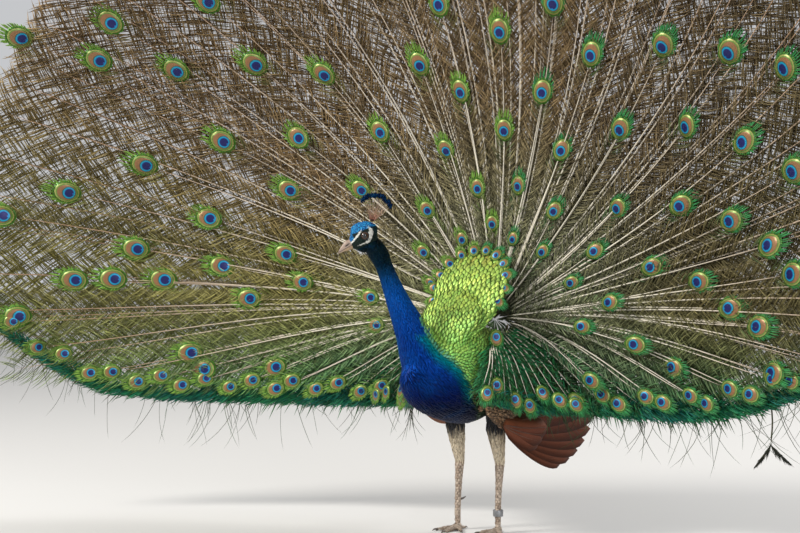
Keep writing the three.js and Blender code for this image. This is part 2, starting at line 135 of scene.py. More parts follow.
lamps = {  # place, what it aims at, width, power, colour
        "keyLight": ((-3.2, -3.6, 4.2), (0, 0, 0.7), 1.6, 330, (1, 0.97, 0.92)),
        "fillLight": ((4.2, -3.4, 2.2), (0, 0, 0.6), 3.0, 110, (0.93, 0.96, 1)),
        "backLight": ((1.5, 4.4, 4.0), (0, 0, 0.8), 2.4, 170, (1, 0.98, 0.95)),
        }
for lampName, lampValues in lamps.items():
    addLight(lampName, *lampValues)


class Sock:
    # one socket of a node tree, with the arithmetic that the materials use
    def __init__(self, paint, socket):
        self.paint, self.socket = paint, socket

    def math(self, operation, *others, clamp=False):
        return self.paint.node("ShaderNodeMath", {"operation": operation, "use_clamp": clamp}, self, *others)

    def __add__(self, other): return self.math("ADD", other)
    def __radd__(self, other): return self.math("ADD", other)
    def __sub__(self, other): return self.math("SUBTRACT", other)
    def __rsub__(self, other): return (self * -1) + other
    def __mul__(self, other): return self.math("MULTIPLY", other)
    def __rmul__(self, other): return self.math("MULTIPLY", other)
    def __truediv__(self, other): return self.math("DIVIDE", other)
    def __pow__(self, other): return self.math("POWER", other)

    def within(self, low, high):  # 0 below low and 1 above high, with a soft step between
        return self.paint.node("ShaderNodeMapRange", {"interpolation_type": "SMOOTHSTEP"}, self, low, high, 0.0, 1.0)


class Paint:
    # a material being written: nodes by type, settings and inputs
    def __init__(self, name, **constants):
        self.material = bpy.data.materials.new(name)
        self.material.use_nodes = True
        self.nodes = self.material.node_tree.nodes
        self.links = self.material.node_tree.links
        self.shader = self.nodes["Principled BSDF"]
        for key, value in constants.items():
            self.shader.inputs[key.replace("_", " ")].default_value = value

    def node(self, kind, settings=None, *values, out=0, **named):
        made = self.nodes.new(kind)
        for key, value in (settings or {}).items():
            setattr(made, key, value)
        sockets = dict(enumerate(values)) | {key.replace("_", " "): value for key, value in named.items()}
        for key, value in sockets.items():
            entry = made.inputs[key]
            if isinstance(value, Sock):
                self.links.new(value.socket, entry)
            elif value is not None:
                entry.default_value = (*value, 1) if entry.type == "RGBA" and len(value) == 3 else value
        return Sock(self, made.outputs[out])

    def mix(self, share, first, second, how="MIX"):
        made = self.nodes.new("ShaderNodeMix")
        made.data_type, made.blend_type = "RGBA", how
        for key, value in ((0, share), (6, first), (7, second)):
            if isinstance(value, Sock):
                self.links.new(value.socket, made.inputs[key])
            else:
                made.inputs[key].default_value = (*value, 1) if key else value
        return Sock(self, made.outputs[2])

    def attribute(self, name, out="Color"):
        return self.node("ShaderNodeAttribute", {"attribute_name": name}, out=out)

    def spot(self):
        return self.node("ShaderNodeTexCoord", out="Object")

    def noise(self, scale, detail=3.0, vector=None, stretch=None):
        vector = vector or self.spot()
        if stretch:
            vector = self.node("ShaderNodeMapping", None, vector, Scale=stretch)
        return self.node("ShaderNodeTexNoise", None, Vector=vector, Scale=scale, Detail=detail, out="Fac")

    def use(self, colour=None, roughness=None, metallic=None, bump=None, strength=0.3, distance=0.001):
        for key, value in (("Base Color", colour), ("Roughness", roughness), ("Metallic", metallic)):
            if value is not None:
                self.links.new(value.socket, self.shader.inputs[key])
        if bump is not None:
            normal = self.node("ShaderNodeBump", None, Height=bump, Strength=strength, Distance=distance)
            self.links.new(normal.socket, self.shader.inputs["Normal"])
        return self.material


def addTint(mesh, tint):
    layer = mesh.color_attributes.new("tint", "FLOAT_COLOR", "POINT")
    layer.data.foreach_set("color", np.c_[tint, np.ones(len(tint))].astype(np.float32).ravel())


def addValue(mesh, key, value):
    layer = mesh.attributes.new(key, "FLOAT", "POINT")
    layer.data.foreach_set("value", np.asarray(value, np.float32))


def meshFrom(name, corners, triangles, tint=None, places=None, maps=None, extras=None, material=None, isSmooth=True):
    # one joined mesh from arrays, with its colour, its OFBake map and any other maps or values at the corners
    mesh = bpy.data.meshes.new(name)
    mesh.vertices.add(len(corners))
    mesh.vertices.foreach_set("co", np.asarray(corners, np.float32).ravel())
    flat = np.asarray(triangles, np.int32).ravel()
    mesh.loops.add(len(flat))
    mesh.loops.foreach_set("vertex_index", flat)
    mesh.polygons.add(len(flat) // 3)
    mesh.polygons.foreach_set("loop_start", np.arange(0, len(flat), 3, dtype=np.int32))
    mesh.update(calc_edges=True)
    mesh.polygons.foreach_set("use_smooth", np.full(len(mesh.polygons), isSmooth))
    allMaps = dict(maps or {}) if places is None else {"OFBake": places, **(maps or {})}
    for key, value in allMaps.items():
        layer = mesh.uv_layers.new(name=key)
        layer.data.foreach_set("uv", np.asarray(value, np.float32)[flat].ravel())
    if tint is not None:
        addTint(mesh, np.clip(tint, 0, 1))
    for key, value in (extras or {}).items():
        addValue(mesh, key, value)
    piece = bpy.data.objects.new(name, mesh)
    bpy.context.collection.objects.link(piece)
    if material:
        mesh.materials.append(material)
    return piece


def finishPiece(piece, slotName, *nodes):
    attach(piece, "root")
    if nodes:
        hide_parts(*nodes)
    print(piece.name, len(piece.data.polygons), "faces")
    return piece


def bladeFaces(sections):
    # a blade is a root point, some three-cornered sections (left, right, ridge) and a tip point, closed all round
    faces = [(0, 1, 2), (0, 3, 1), (0, 2, 3)]
    for k in range(sections - 1):
        a, b = 1 + 3 * k, 4 + 3 * k
        for p, q in ((0, 1), (1, 2), (2, 0)):
            faces += [(a + p, b + p, b + q), (a + p, b + q, a + q)]
    end, tip = 1 + 3 * (sections - 1), 1 + 3 * sections
    faces += [(tip, end + 1, end), (tip, end, end + 2), (tip, end + 2, end + 1)]
    return np.array(faces)


def blades(line, up, half, lift):
    # line (n, sections + 2, 3), up (n, 3) or (n, sections, 3), half and lift (n, sections); returns corners and
    # triangles
    count, steps = line.shape[:2]
    sections = steps - 2
    lead = unit(line[:, 2:] - line[:, :-2])
    if up.ndim == 2:
        up = np.repeat(up[:, None], sections, 1)
    side = unit(np.cross(lead, up))
    top = np.cross(side, lead)
    middle = line[:, 1:-1]
    half, lift = (np.broadcast_to(x, (count, sections))[..., None] for x in (half, lift))
    ring = np.stack([middle - side * half, middle + side * half, middle + top * lift], 2).reshape(count, -1, 3)
    corners = np.concatenate([line[:, :1], ring, line[:, -1:]], 1)
    size = corners.shape[1]
    faces = bladeFaces(sections)[None] + (np.arange(count) * size)[:, None, None]
    return corners.reshape(-1, 3), faces.reshape(-1, 3), size


def bladeShares(sections):
    # per corner of one blade: share of the length, and -1 left, 0 middle, 1 right
    runs = np.r_[0, np.repeat(np.arange(1, sections + 1) / (sections + 1), 3), 1]
    sides = np.r_[0, np.tile([-1, 1, 0], sections), 0]
    return runs, sides


patch = 0.003  # size of one feather's patch on the bake map


def patches(roots, sections):
    runs, sides = bladeShares(sections)
    cell = np.stack([(sides + 1) / 2, runs], -1) * patch
    return (roots[:, None] + cell[None]).reshape(-1, 2)


# the body's shape
# stations: place [x, forward, up] in mm from the floor between the legs, then half width and half depth
body = {
    "trunk": [(0, -150, 452, 26, 28), (0, -96, 430, 70, 66), (-2, -20, 400, 93, 102), (-10, 60, 380, 101, 122),
    (-20, 140, 374, 98, 116), (-40, 212, 372, 88, 99), (-50, 268, 380, 50, 58)],
    "neck": [(-22, 132, 350, 70, 66), (-42, 186, 410, 70, 68), (-58, 226, 480, 42, 44), (-84, 246, 552, 28, 29),
    (-108, 260, 622, 21, 22.5), (-115, 276, 655, 25, 26), (-129, 288, 683, 24.5, 26), (-134, 295, 706, 13,
    16)],
    "shield": [(-14, 128, 446, 44, 20), (-6, 96, 500, 84, 30), (0, 56, 572, 101, 27), (0, 6, 636, 86, 18),
    (0, -26, 668, 34, 8)],
    "saddle": [(-24, 176, 438, 46, 22), (-17, 142, 482, 74, 32), (-11, 112, 520, 84, 32), (-6, 88, 566, 74, 20)],
    "fluff": [(0, -132, 470, 46, 34), (0, -168, 418, 82, 52), (0, -150, 345, 76, 50), (0, -116, 292, 30, 24)],
    "coverts": [(86, 150, 316, 8, 22), (102, 100, 298, 16, 42), (107, 40, 300, 16, 44), (108, -30, 316, 11, 28),
    (106, -90, 322, 5, 14)],
    "leg": [(54, 20, 318, 30, 44), (54, 28, 262, 27, 36), (54, 18, 212, 18, 21), (54, 8, 168, 11.5, 12.5),
    (54, 8, 152, 10.5, 11.5), (54, 12, 110, 8, 9), (54, 16, 52, 7.8, 8.8), (54, 16, 10, 10, 10)],
    "rightWingLift": 26,
}
headShape = {
    "centre": (-141, 305, 697), "turn": math.radians(54), "dip": math.radians(28),
    "skull": [(-38, 0, 5, 12, 16), (-24, 0, 4, 17.5, 28), (-5, 0, -0.5, 19, 35), (13, 0, -4.5, 16.5, 31),
    (28, 0, -5, 11.5, 18.5), (37, 0, -5, 5.5, 9)],
    "eye": (-4, 12.4, -1.5),
}
coatDepth = {"trunk": 6, "neck": 2.5, "head": 0.9, "shield": 4, "saddle": 4, "fluff": 9, "coverts": 4, "leg": 0.5,
        "thigh": 6, "toe": 0.4}
toes = [(0, 66, 7), (38, 50, 6.4), (-36, 54, 6.4), (168, 26, 4.6)]  # turn from straight ahead, length, half thickness
legSide, legForward = 54, 16

headCentre = place(headShape["centre"])
turn, dip = headShape["turn"], headShape["dip"]
headForward = np.array([-math.sin(turn) * math.cos(dip), -math.cos(turn) * math.cos(dip), -math.sin(dip)])
headLeft = unit(np.cross([0, 0, 1], headForward))
headUp = np.cross(headForward, headLeft)


def headPlace(spot):
    spot = np.asarray(spot, float) / 1000
    return headCentre + spot[..., :1] * headForward + spot[..., 1:2] * headLeft + spot[..., 2:3] * headUp


def headSpot(world):
    gone = (np.asarray(world) - headCentre) * 1000
    return np.stack([gone @ headForward, gone @ headLeft, gone @ headUp], -1)


class Limb:
    # a rounded body along stations: gives places on its surface, and says how deep inside it a place is
    def __init__(self, stations, sink=0.0, fullness=1.0, locate=place, across=(1, 0, 0), flip=False):
        stations = np.array(stations, float)
        if flip:
            stations[:, 0] *= -1
        self.centres, self.halves = locate(stations[:, :3]), stations[:, 3:] / 1000
        sinks = np.broadcast_to(np.asarray(sink, float) / 1000, len(stations))[:, None]
        self.halves = np.maximum(self.halves - sinks, 0.001)
        self.fullness, self.across = fullness, np.array(across, float)
        self.samples = np.linspace(0, 1, 41)

    def frameAt(self, share):
        share = np.clip(np.asarray(share, float), 0, 1)
        step = 0.004
        lead = unit(along(self.centres, np.minimum(share + step, 1))
                - along(self.centres, np.maximum(share - step, 0)))
        deep = unit(np.cross(self.across, lead))
        wide = np.cross(lead, deep)
        return along(self.centres, share), lead, wide, deep, along(self.halves, share)

    def surface(self, level, angle):
        # level 0 to pi from the first end to the last, angle round the middle line
        share = (1 - np.cos(level)) / 2
        reach = np.maximum(np.sin(level), 0) ** self.fullness
        centre, lead, wide, deep, half = self.frameAt(share)
        return (centre + wide * (np.cos(angle) * reach * half[:, 0])[:, None]
                + deep * (np.sin(angle) * reach * half[:, 1])[:, None])

    def within(self, world):
        # under 1 inside, over 1 outside
        centre, lead, wide, deep, half = self.frameAt(self.samples)
        gap = np.linalg.norm(np.diff(centre, axis=0), axis=1).mean() * 1.3
        best = np.full(len(world), 9.0)
        reach = np.maximum(np.sin(np.arccos(1 - 2 * self.samples)), 0.05) ** self.fullness
        for k in range(len(self.samples)):
            gone = world - centre[k]
            size = ((gone @ wide[k]) / (half[k, 0] * reach[k])) ** 2 + ((gone @ deep[k])
                    / (half[k, 1] * reach[k])) ** 2
            best = np.minimum(best, np.sqrt(size + ((gone @ lead[k]) / gap) ** 2))
        return best

    def shell(self, around=28, steps=36):
        level = np.repeat(np.linspace(0, math.pi, steps + 1)[1:-1], around)
        angle = np.tile(np.arange(around) / around * 2 * math.pi, steps - 1)
        ends = self.surface(np.array([0, math.pi]), np.zeros(2))
        corners = np.vstack([ends[:1], self.surface(level, angle), ends[1:]])
        faces = []
        for k in range(around):
            after = (k + 1) % around
            faces.append((0, 1 + after, 1 + k))
            last = 1 + (steps - 2) * around
            faces.append((len(corners) - 1, last + k, last + after))
            for row in range(steps - 2):
                a = 1 + row * around
                faces += [(a + k, a + after, a + around + after), (a + k, a + around + after, a + around + k)]
        return corners, np.array(faces)


def mirrored(stations, lift=0):
    return [(-x, forward, up + lift, *half) for x, forward, up, *half in stations]


depth = coatDepth
legSinks = [depth["thigh"]] * 2 + [2.0, 0.8] + [depth["leg"]] * 4
limbs = {
    "trunk": Limb(body["trunk"], depth["trunk"]),
    "neck": Limb(body["neck"], depth["neck"], 0.5),
    "head": Limb(headShape["skull"], depth["head"], 0.7, headPlace, headLeft),
    "shield": Limb(body["shield"], depth["shield"], 0.6),
    "saddle": Limb(body["saddle"], depth["saddle"], 0.6),
    "fluff": Limb(body["fluff"], depth["fluff"], 0.7),
    "covertsLeft": Limb(body["coverts"], depth["coverts"], 0.7),
    "covertsRight": Limb(mirrored(body["coverts"], body["rightWingLift"]), depth["coverts"], 0.7),
    "legLeft": Limb(body["leg"], legSinks, 0.4),
    "legRight": Limb(mirrored(body["leg"]), legSinks, 0.4),
}
toeLimbs = []
for side in (1, -1):
    for bearing, length, half in toes:
        lead = np.array([-side * math.sin(math.radians(bearing)), math.cos(math.radians(bearing))])
        base = np.array([side * legSide, legForward])
        rows = [(out, up, wide, tall) for out, up, wide, tall in (
            (-2, 10, half, half), (length * 0.3, half * 0.9, half, half),
            (length * 0.75, half * 0.7, half * 0.85, half * 0.8), (length, half * 0.62, half * 0.62, half * 0.62))]
        stations = [(*(base + lead * out), up, wide, tall) for out, up, wide, tall in rows]
        toeLimbs.append(Limb(stations, depth["toe"], 0.5, across=(0, 0, 1)))


def inside(world, *names):
    # under 1 in any of the named limbs
    return np.min([limbs[name].within(world) for name in names], 0)


def joinShells(shells):
    corners, faces, start = [], [], 0
    for points, triangles in shells:
        corners.append(points)
        faces.append(triangles + start)
        start += len(points)
    return np.vstack(corners), np.vstack(faces)


skinForm = {"voxel": 0.003, "passes": 4, "creasePasses": 26, "socket": 10, "socketDeep": 5.0, "sole": 0.0004}


def isCrease(x, forward, up):  # where the back rises into the shield, and where neck meets breast
    return (abs(x + 12) < 100 and 50 < forward < 200 and 430 < up < 575
            or abs(x + 55) < 110 and 150 < forward < 275 and 375 < up < 450)


def relax(form, corners, passes):
    for _ in range(passes):
        bmesh.ops.smooth_vert(form, verts=corners, factor=0.5, use_axis_x=True, use_axis_y=True, use_axis_z=True)


def makeSkin():
    # every soft part of the body as one closed skin
    shells = [limb.shell(32, 40) for limb in limbs.values()] + [limb.shell(14, 20) for limb in toeLimbs]
    rough = meshFrom("skin", *joinShells(shells))
    remesh = rough.modifiers.new("remesh", "REMESH")
    remesh.mode = "VOXEL"
    remesh.voxel_size = skinForm["voxel"]
    remesh.use_smooth_shade = True
    final = bpy.data.meshes.new_from_object(rough.evaluated_get(bpy.context.evaluated_depsgraph_get()))
    rough.modifiers.clear()
    rough.data = final
    form = bmesh.new()
    form.from_mesh(final)
    relax(form, form.verts, skinForm["passes"])
    relax(form, [corner for corner in form.verts if isCrease(*unplace(np.array(corner.co)))],
            skinForm["creasePasses"])
    eyeForward, eyeOut, eyeUp = headShape["eye"]
    for corner in form.verts:  # a shallow socket round each eye, and flat soles
        if corner.co.z > 0.6:
            forward, out, up = headSpot(np.array(corner.co))
            away = math.hypot(forward - eyeForward, up - eyeUp)
            if away < skinForm["socket"] and abs(out) > 6:
                dip = float(smooth(away, skinForm["socket"], 6)) * skinForm["socketDeep"]
                corner.co = Vector(headPlace((forward, out - math.copysign(dip, out), up)))
        corner.co.z = max(corner.co.z, skinForm["sole"])
    bmesh.ops.recalc_face_normals(form, faces=form.faces)
    form.to_mesh(final)
    form.free()
    final.polygons.foreach_set("use_smooth", np.full(len(final.polygons), True))
    return rough


skin = makeSkin()
skinTree = BVHTree.FromPolygons([v.co for v in skin.data.vertices], [p.vertices for p in skin.data.polygons])
print("skin", len(skin.data.polygons))

# the middle line of the bird from bill to tail: feathers lie along it
axisLine = place([(-150, 318, 700), (-134, 295, 706), (-122, 277, 668), (-108, 260, 622), (-84, 246, 552),
        (-58, 226, 480),
        (-45, 196, 425), (-28, 150, 388), (-10, 60, 380), (-2, -20, 400), (0, -96, 430), (0, -150, 452)])
axisShares = np.linspace(0, 1, 90)
axisPoints = along(axisLine, axisShares)
axisLeads = unit(np.gradient(axisPoints, axis=0))


def bodyLie(world, reach=0.05):
    lie = np.zeros_like(world)
    nearest = np.full(len(world), 9.0)
    at = np.zeros(len(world))
    for point, lead, share in zip(axisPoints, axisLeads, axisShares):
        away = np.linalg.norm(world - point, axis=1)
        lie += np.exp(-(away / reach) ** 2)[:, None] * lead
        at = np.where(away < nearest, share, at)
        nearest = np.minimum(nearest, away)
    return unit(lie + 1e-9 * axisLeads[40]), at


def surfaceOf(world):
    # nearest place and normal on the skin
    places, normals = np.empty_like(world), np.empty_like(world)
    for k, point in enumerate(world):
        near, normal, _, _ = skinTree.find_nearest(Vector(point))
        places[k], normals[k] = near, normal
    return places, normals


def seeds(limb, spacing, others=(), levels=(0.04, 0.97), jitter=0.35):
    # roots in staggered rows over a limb, leaving out those inside another limb
    length = walkedAlong(along(limb.centres, np.linspace(0, 1, 60)))[-1]
    rows = np.linspace(levels[0] * math.pi, levels[1] * math.pi, 400)
    line = limb.surface(rows, np.zeros(400))
    run = walkedAlong(line)
    levelsOut, anglesOut = [], []
    at, row = 0.0, 0
    while at < run[-1]:
        level = np.interp(at, run, rows)
        share = (1 - math.cos(level)) / 2
        half = along(limb.halves, [share])[0] * math.sin(level) ** limb.fullness
        here = spacing(share) if callable(spacing) else spacing
        count = max(4, int(2 * math.pi * math.sqrt((half[0] ** 2 + half[1] ** 2) / 2) / here))
        angle = (np.arange(count) + 0.5 * (row % 2) + rng.uniform(-jitter, jitter, count)) / count * 2 * math.pi
        levelsOut.append(np.full(count, level) + rng.uniform(-jitter, jitter, count) * here / max(length, 0.01) * 2)
        anglesOut.append(angle)
        at += here * 0.8
        row += 1
    level, angle = np.concatenate(levelsOut), np.concatenate(anglesOut)
    found = limb.surface(np.clip(level, 0.02, 3.12), angle)
    keep = np.ones(len(found), bool)
    for other, margin in others:
        keep &= other.within(found) > margin
    return found[keep], level[keep], angle[keep]


def layBlades(roots, normals, lie, length, half, lift, sections=3, rise=0.25, shape=(0.6, 1, 0.75), curl=0.0,
        sunk=0.0006):
    # feathers that start on the skin and lie along it, their tips a little proud
    count = len(roots)
    normals = unit(normals)
    lie = unit(lie - normals * (lie * normals).sum(1, keepdims=True))
    shares = np.linspace(0, 1, sections + 2)
    length, half, lift = (np.broadcast_to(np.asarray(x, float), count) for x in (length, half, lift))
    rise = np.broadcast_to(np.asarray(rise, float), count)
    line = np.empty((count, sections + 2, 3))
    for k, share in enumerate(shares):
        height = rise * share - curl * share**2
        line[:, k] = roots - normals * sunk + lie * (length * share)[:, None] + normals * (length * height)[:, None]
    for k in range(1, sections + 2):  # kept out of the skin where the body bends up in front of them
        near, out = surfaceOf(line[:, k])
        above = ((line[:, k] - near) * out).sum(1)
        line[:, k] += out * np.maximum(length * shares[k] * 0.06 - above, 0)[:, None]
    shape = np.asarray(shape)
    ridge = np.clip(shape * 1.2, 0.3, 1)
    return blades(line, normals, half[:, None] * shape, lift[:, None] * ridge)


# colours (linear)
hue = {
    "blue": (0.003, 0.060, 0.36), "blueLight": (0.004, 0.19, 0.60), "blueDeep": (0.003, 0.010, 0.10),
    "turquoise": (0.0, 0.26, 0.28), "bellyBlack": (0.004, 0.009, 0.018), "crown": (0.010, 0.16, 0.48),
    "cheek": (0.003, 0.014, 0.010), "throat": (0.002, 0.030, 0.050), "white": (0.85, 0.84, 0.76),
    "lime": (0.48, 0.52, 0.07), "limeDeep": (0.20, 0.42, 0.07), "scaleEdge": (0.015, 0.07, 0.015),
    "bronze": (0.10, 0.055, 0.02), "downDark": (0.035, 0.03, 0.028), "down": (0.34, 0.31, 0.27),
    "buff": (0.78, 0.66, 0.48), "buffWarm": (0.34, 0.19, 0.095), "barDark": (0.035, 0.022, 0.016),
    "chestnut": (0.14, 0.030, 0.010), "chestnutPale": (0.44, 0.16, 0.075), "chestnutDark": (0.055, 0.016, 0.010),
    "shaft": (0.86, 0.80, 0.66), "shaftTan": (0.50, 0.31, 0.18), "copper": (0.225, 0.12, 0.055),
    "olive": (0.17, 0.165, 0.035), "green": (0.03, 0.14, 0.035), "emerald": (0.004, 0.20, 0.075),
    "teal": (0.002, 0.18, 0.14), "haloGreen": (0.20, 0.40, 0.05), "haloDeep": (0.03, 0.26, 0.07),
    "legSkin": (0.42, 0.32, 0.24), "scute": (0.50, 0.40, 0.31), "scuteBrown": (0.21, 0.13, 0.085),
    "rump": (0.03, 0.05, 0.018), "horn": (0.36, 0.26, 0.20),
}


def borderForward(up):  # where the blue breast gives way to scale feathers, in mm forward
    return np.where(up > 320, np.minimum(160 + (up - 320) * 0.5, 238 - (up - 478) * 3), 160 - (320 - up) * 1.3)


def headColour(spot):
    # markings on the head, from its own forward, left and up places
    forward, out, up = spot[:, 0], np.abs(spot[:, 1]), spot[:, 2]
    count = len(spot)
    tint = np.repeat([hue["cheek"]], count, 0)
    crownLine = 12 + 0.1 * forward
    tint = blend(tint, hue["crown"], smooth(up, crownLine - 1.5, crownLine + 1.5))
    tint = blend(tint, hue["crown"], smooth(forward, 20, 24) * smooth(up, -1, 4))
    tint = blend(tint, hue["throat"], smooth(-forward, 20, 34) * smooth(-up, -18, 0) * 0.7)
    onSide = out > 5

    def stripe(start, end, wide, bend=0.0):
        start, end = np.array(start), np.array(end)
        lead = (end - start) / np.linalg.norm(end - start)
        run = (forward - start[0]) * lead[0] + (up - start[1]) * lead[1]
        length = np.linalg.norm(end - start)
        share = np.clip(run / length, 0, 1)
        off = (forward - start[0]) * -lead[1] + (up - start[1]) * lead[0] - bend * np.sin(share * math.pi)
        inside = (run > -1) & (run < length + 1) & onSide
        return inside * (np.abs(off) < wide * (0.55 + 0.45 * np.sin(share * math.pi)))

    white = (stripe((31, -2.0), (-2, 13.5), 2.5, 1.2) | stripe((-19, 14.5), (-11, -13.0), 4.4, -4.0)
            | stripe((-11, -13.0), (6, -16.0), 2.4, -1.5) | stripe((6, -15.8), (19, -14.0), 1.3))
    tint = blend(tint, bodyColour(headPlace(spot)), smooth(-up, 16, 44))
    return blend(tint, hue["white"], white.astype(float)), white


def bodyColour(world):
    # the markings of trunk and neck, the same for the skin and for the feathers on it
    spot = unplace(world)
    forward, up = spot[:, 1], spot[:, 2]
    edge = forward - borderForward(up)
    wave = np.sin(world[:, 2] * 41) * np.sin(world[:, 0] * 57 + world[:, 1] * 33)
    tint = np.repeat([hue["blue"]], len(world), 0)
    tint = blend(tint, hue["blueLight"], smooth(up, 440, 640) * 0.4 + 0.12 * wave.clip(0, 1))
    tint = blend(tint, hue["throat"], smooth(up, 560, 642) * 0.95)
    tint = blend(tint, hue["cheek"], smooth(up, 606, 668) * 0.9)
    tint = blend(tint, hue["blueDeep"], smooth(330 - up, -95, 5) * 0.95)
    tint = blend(tint, hue["turquoise"], smooth(-edge, -26, 0) * smooth(up, 300, 350))
    scaly = blend(hue["limeDeep"], hue["bronze"], smooth(-forward, -40, 90) * 0.8)
    tint = blend(tint, scaly, smooth(-edge, 0, 8))
    dark = smooth(-(up - 318), -20, 25) * smooth(-forward, -120, -60)
    tint = blend(tint, hue["bellyBlack"], np.maximum(dark, smooth(340 - up, -12, 36) * 0.8))
    return blend(tint, hue["downDark"], smooth(-forward, 60, 120) * smooth(430 - up, 0, 60) * 0.7)


# the skin's own look
corners = np.array([v.co for v in skin.data.vertices])
isHead = inside(corners, "head") < 1.25
isLeg = (corners[:, 2] < 0.235) & ((inside(corners, "legLeft", "legRight") < 1.6) | (corners[:, 2] < 0.03))
isWing = inside(corners, "covertsLeft", "covertsRight") < 1.12
isShield = inside(corners, "shield", "saddle") < 1.12
isShield &= unplace(corners)[:, 1] < borderForward(np.minimum(unplace(corners)[:, 2], 478))
isFluff = inside(corners, "fluff") < 1.12
skinTint = bodyColour(corners)
skinTint[isFluff] = hue["down"]
# the rump's own dark bronze-green, kept dark also as painted shade at the base of the train
skinTint[isFluff & (unplace(corners)[:, 1] > -140)] = hue["rump"]
skinTint[isShield] = hue["limeDeep"]
skinTint[isWing] = hue["buffWarm"]
skinTint[isHead] = headColour(headSpot(corners[isHead]))[0]
isThigh = (corners[:, 2] >= 0.16) & (corners[:, 2] < 0.31) & ~isWing & ~isFluff
isThigh &= inside(corners, "legLeft", "legRight") < 1.1
thighShare = smooth(corners[:, 2], 0.235, 0.262)
skinTint[isThigh] = blend(hue["buff"], hue["bellyBlack"], thighShare[isThigh])
skinTint[isLeg & (corners[:, 2] < 0.165)] = hue["legSkin"]
addTint(skin.data, skinTint)

paint = Paint("peacockSkin", Roughness=0.6, Specular_IOR_Level=0.15)
grain = paint.noise(420, 3)
blotch = paint.noise(38, 2)
tone = paint.mix((blotch.within(0.35, 0.75)) * 0.25, paint.attribute("tint"), (0.03, 0.02, 0.015))
skin.data.materials.append(paint.use(tone, 0.45 + grain * 0.3, None, grain, 0.5, 0.0006))
unwrap = skin.data.uv_layers.new(name="OFBake")
axisAt = bodyLie(corners)[1]
centreLine = np.stack([np.interp(axisAt, axisShares, axisPoints[:, k]) for k in range(3)], -1)
gone = corners - centreLine
around = (np.arctan2(gone[:, 0], gone[:, 2] * 0.6 - gone[:, 1] * 0.8) / (2 * math.pi)) + 0.5
skinPlaces = np.stack([around, axisAt], -1)
skinCorners = corners
# coat of the neck, breast and belly
featherPaint = Paint("blueFeathers", Roughness=0.36, Metallic=0.95)
strands = featherPaint.noise(900, 2, stretch=(1, 1, 0.35))
sheen = featherPaint.noise(24, 2)
tone = featherPaint.mix(sheen.within(0.45, 0.8) * 0.12, featherPaint.attribute("tint"), hue["blueLight"])
tone = featherPaint.mix(strands.within(0.35, 0.8) * 0.4, tone, hue["blueDeep"])
blueLook = featherPaint.use(tone, 0.32 + strands * 0.25, None, strands, 0.35, 0.0006)

coat = {"neckNear": 0.0032, "neckFar": 0.0056, "breast": 0.0060, "longer": 3.1}


def coatPiece(name, slotName, parts, material, *nodes):
    # parts: corners, faces, size, tint of each feather, bake places of the roots, sections
    allCorners, allFaces, tints, places, start = [], [], [], [], 0
    for points, faces, size, tint, roots, sections in parts:
        runs, sides = bladeShares(sections)
        allCorners.append(points)
        allFaces.append(faces + start)
        tint = tint if tint.ndim == 3 else np.repeat(tint[:, None], size, 1)
        tints.append(tint.reshape(-1, 3))
        places.append(patches(roots, sections))
        start += len(points)
    piece = meshFrom(name, np.vstack(allCorners), np.vstack(allFaces), np.vstack(tints), np.vstack(places),
            material=material)
    return finishPiece(piece, slotName, *nodes)


def rootPlaces(level, angle, low=(0.02, 0.02), high=(0.97, 0.97)):
    # an unwrap of a limb: round it, and along it
    across = (angle / (2 * math.pi)) % 1
    return np.stack([low[0] + across * (high[0] - low[0]), low[1] + level / math.pi * (high[1] - low[1])], -1)


def shaded(tint, amount):
    return tint * (1 + rng.uniform(-amount, amount, (len(tint), 1)))


neckRoots, neckLevel, neckAngle = seeds(
    limbs["neck"], lambda share: np.interp(share, (0.15, 0.45, 1), (coat["neckFar"], 0.0045, coat["neckNear"])),
    [(limbs["trunk"], 0.97), (limbs["head"], 1.0), (limbs["shield"], 1.0)])
trunkRoots, trunkLevel, trunkAngle = seeds(
    limbs["trunk"], coat["breast"],
    [(limbs["neck"], 0.97), (limbs["shield"], 1.0), (limbs["covertsLeft"], 1.0), (limbs["covertsRight"], 1.0),
    (limbs["fluff"], 1.0), (limbs["legLeft"], 0.95), (limbs["legRight"], 0.95)])
trunkSpot = unplace(trunkRoots)
isBreast = trunkSpot[:, 1] > borderForward(trunkSpot[:, 2]) - 3
isBelly = ~isBreast & (trunkSpot[:, 2] < 325)
parts = []
for roots, level, angle, low in ((neckRoots, neckLevel, neckAngle, 0.02),
        (trunkRoots[isBreast | isBelly], trunkLevel[isBreast | isBelly], trunkAngle[isBreast | isBelly], 0.52)):
    spots, normals = surfaceOf(roots)
    lie, _ = bodyLie(spots)
    lie = unit(lie + rng.normal(0, 0.06, lie.shape))
    up = unplace(spots)[:, 2]
    forward = unplace(spots)[:, 1]
    keep = (low > 0.1) | (forward >= borderForward(up) - 4) | (up >= 480)
    size = np.interp(up, (300, 420, 500, 640, 700), (0.0072, 0.0066, 0.0052, 0.004, 0.0034))
    length = size * coat["longer"] * rng.uniform(0.85, 1.2, len(size))
    tint = shaded(bodyColour(spots), 0.14)
    points, faces, count = layBlades(spots[keep], normals[keep], lie[keep], length[keep], (size * 0.36)[keep],
            (size * 0.11)[keep], 3, rise=0.13, curl=0.09)
    places = rootPlaces(level, angle, (0.02, low), (0.97, low + 0.45))
    tipShade = np.interp(bladeShares(3)[0], (0, 0.5, 1), (0.75, 1.0, 1.2))[None, :, None]
    parts.append((points, faces, count, tint[keep][:, None] * tipShade, places[keep], 3))
coatPiece("neckCoat", "peacock_blue", parts[:1], blueLook, "neck_lower", "neck_upper")
coatPiece("breastCoat", "peacock_blue", parts[1:], blueLook)


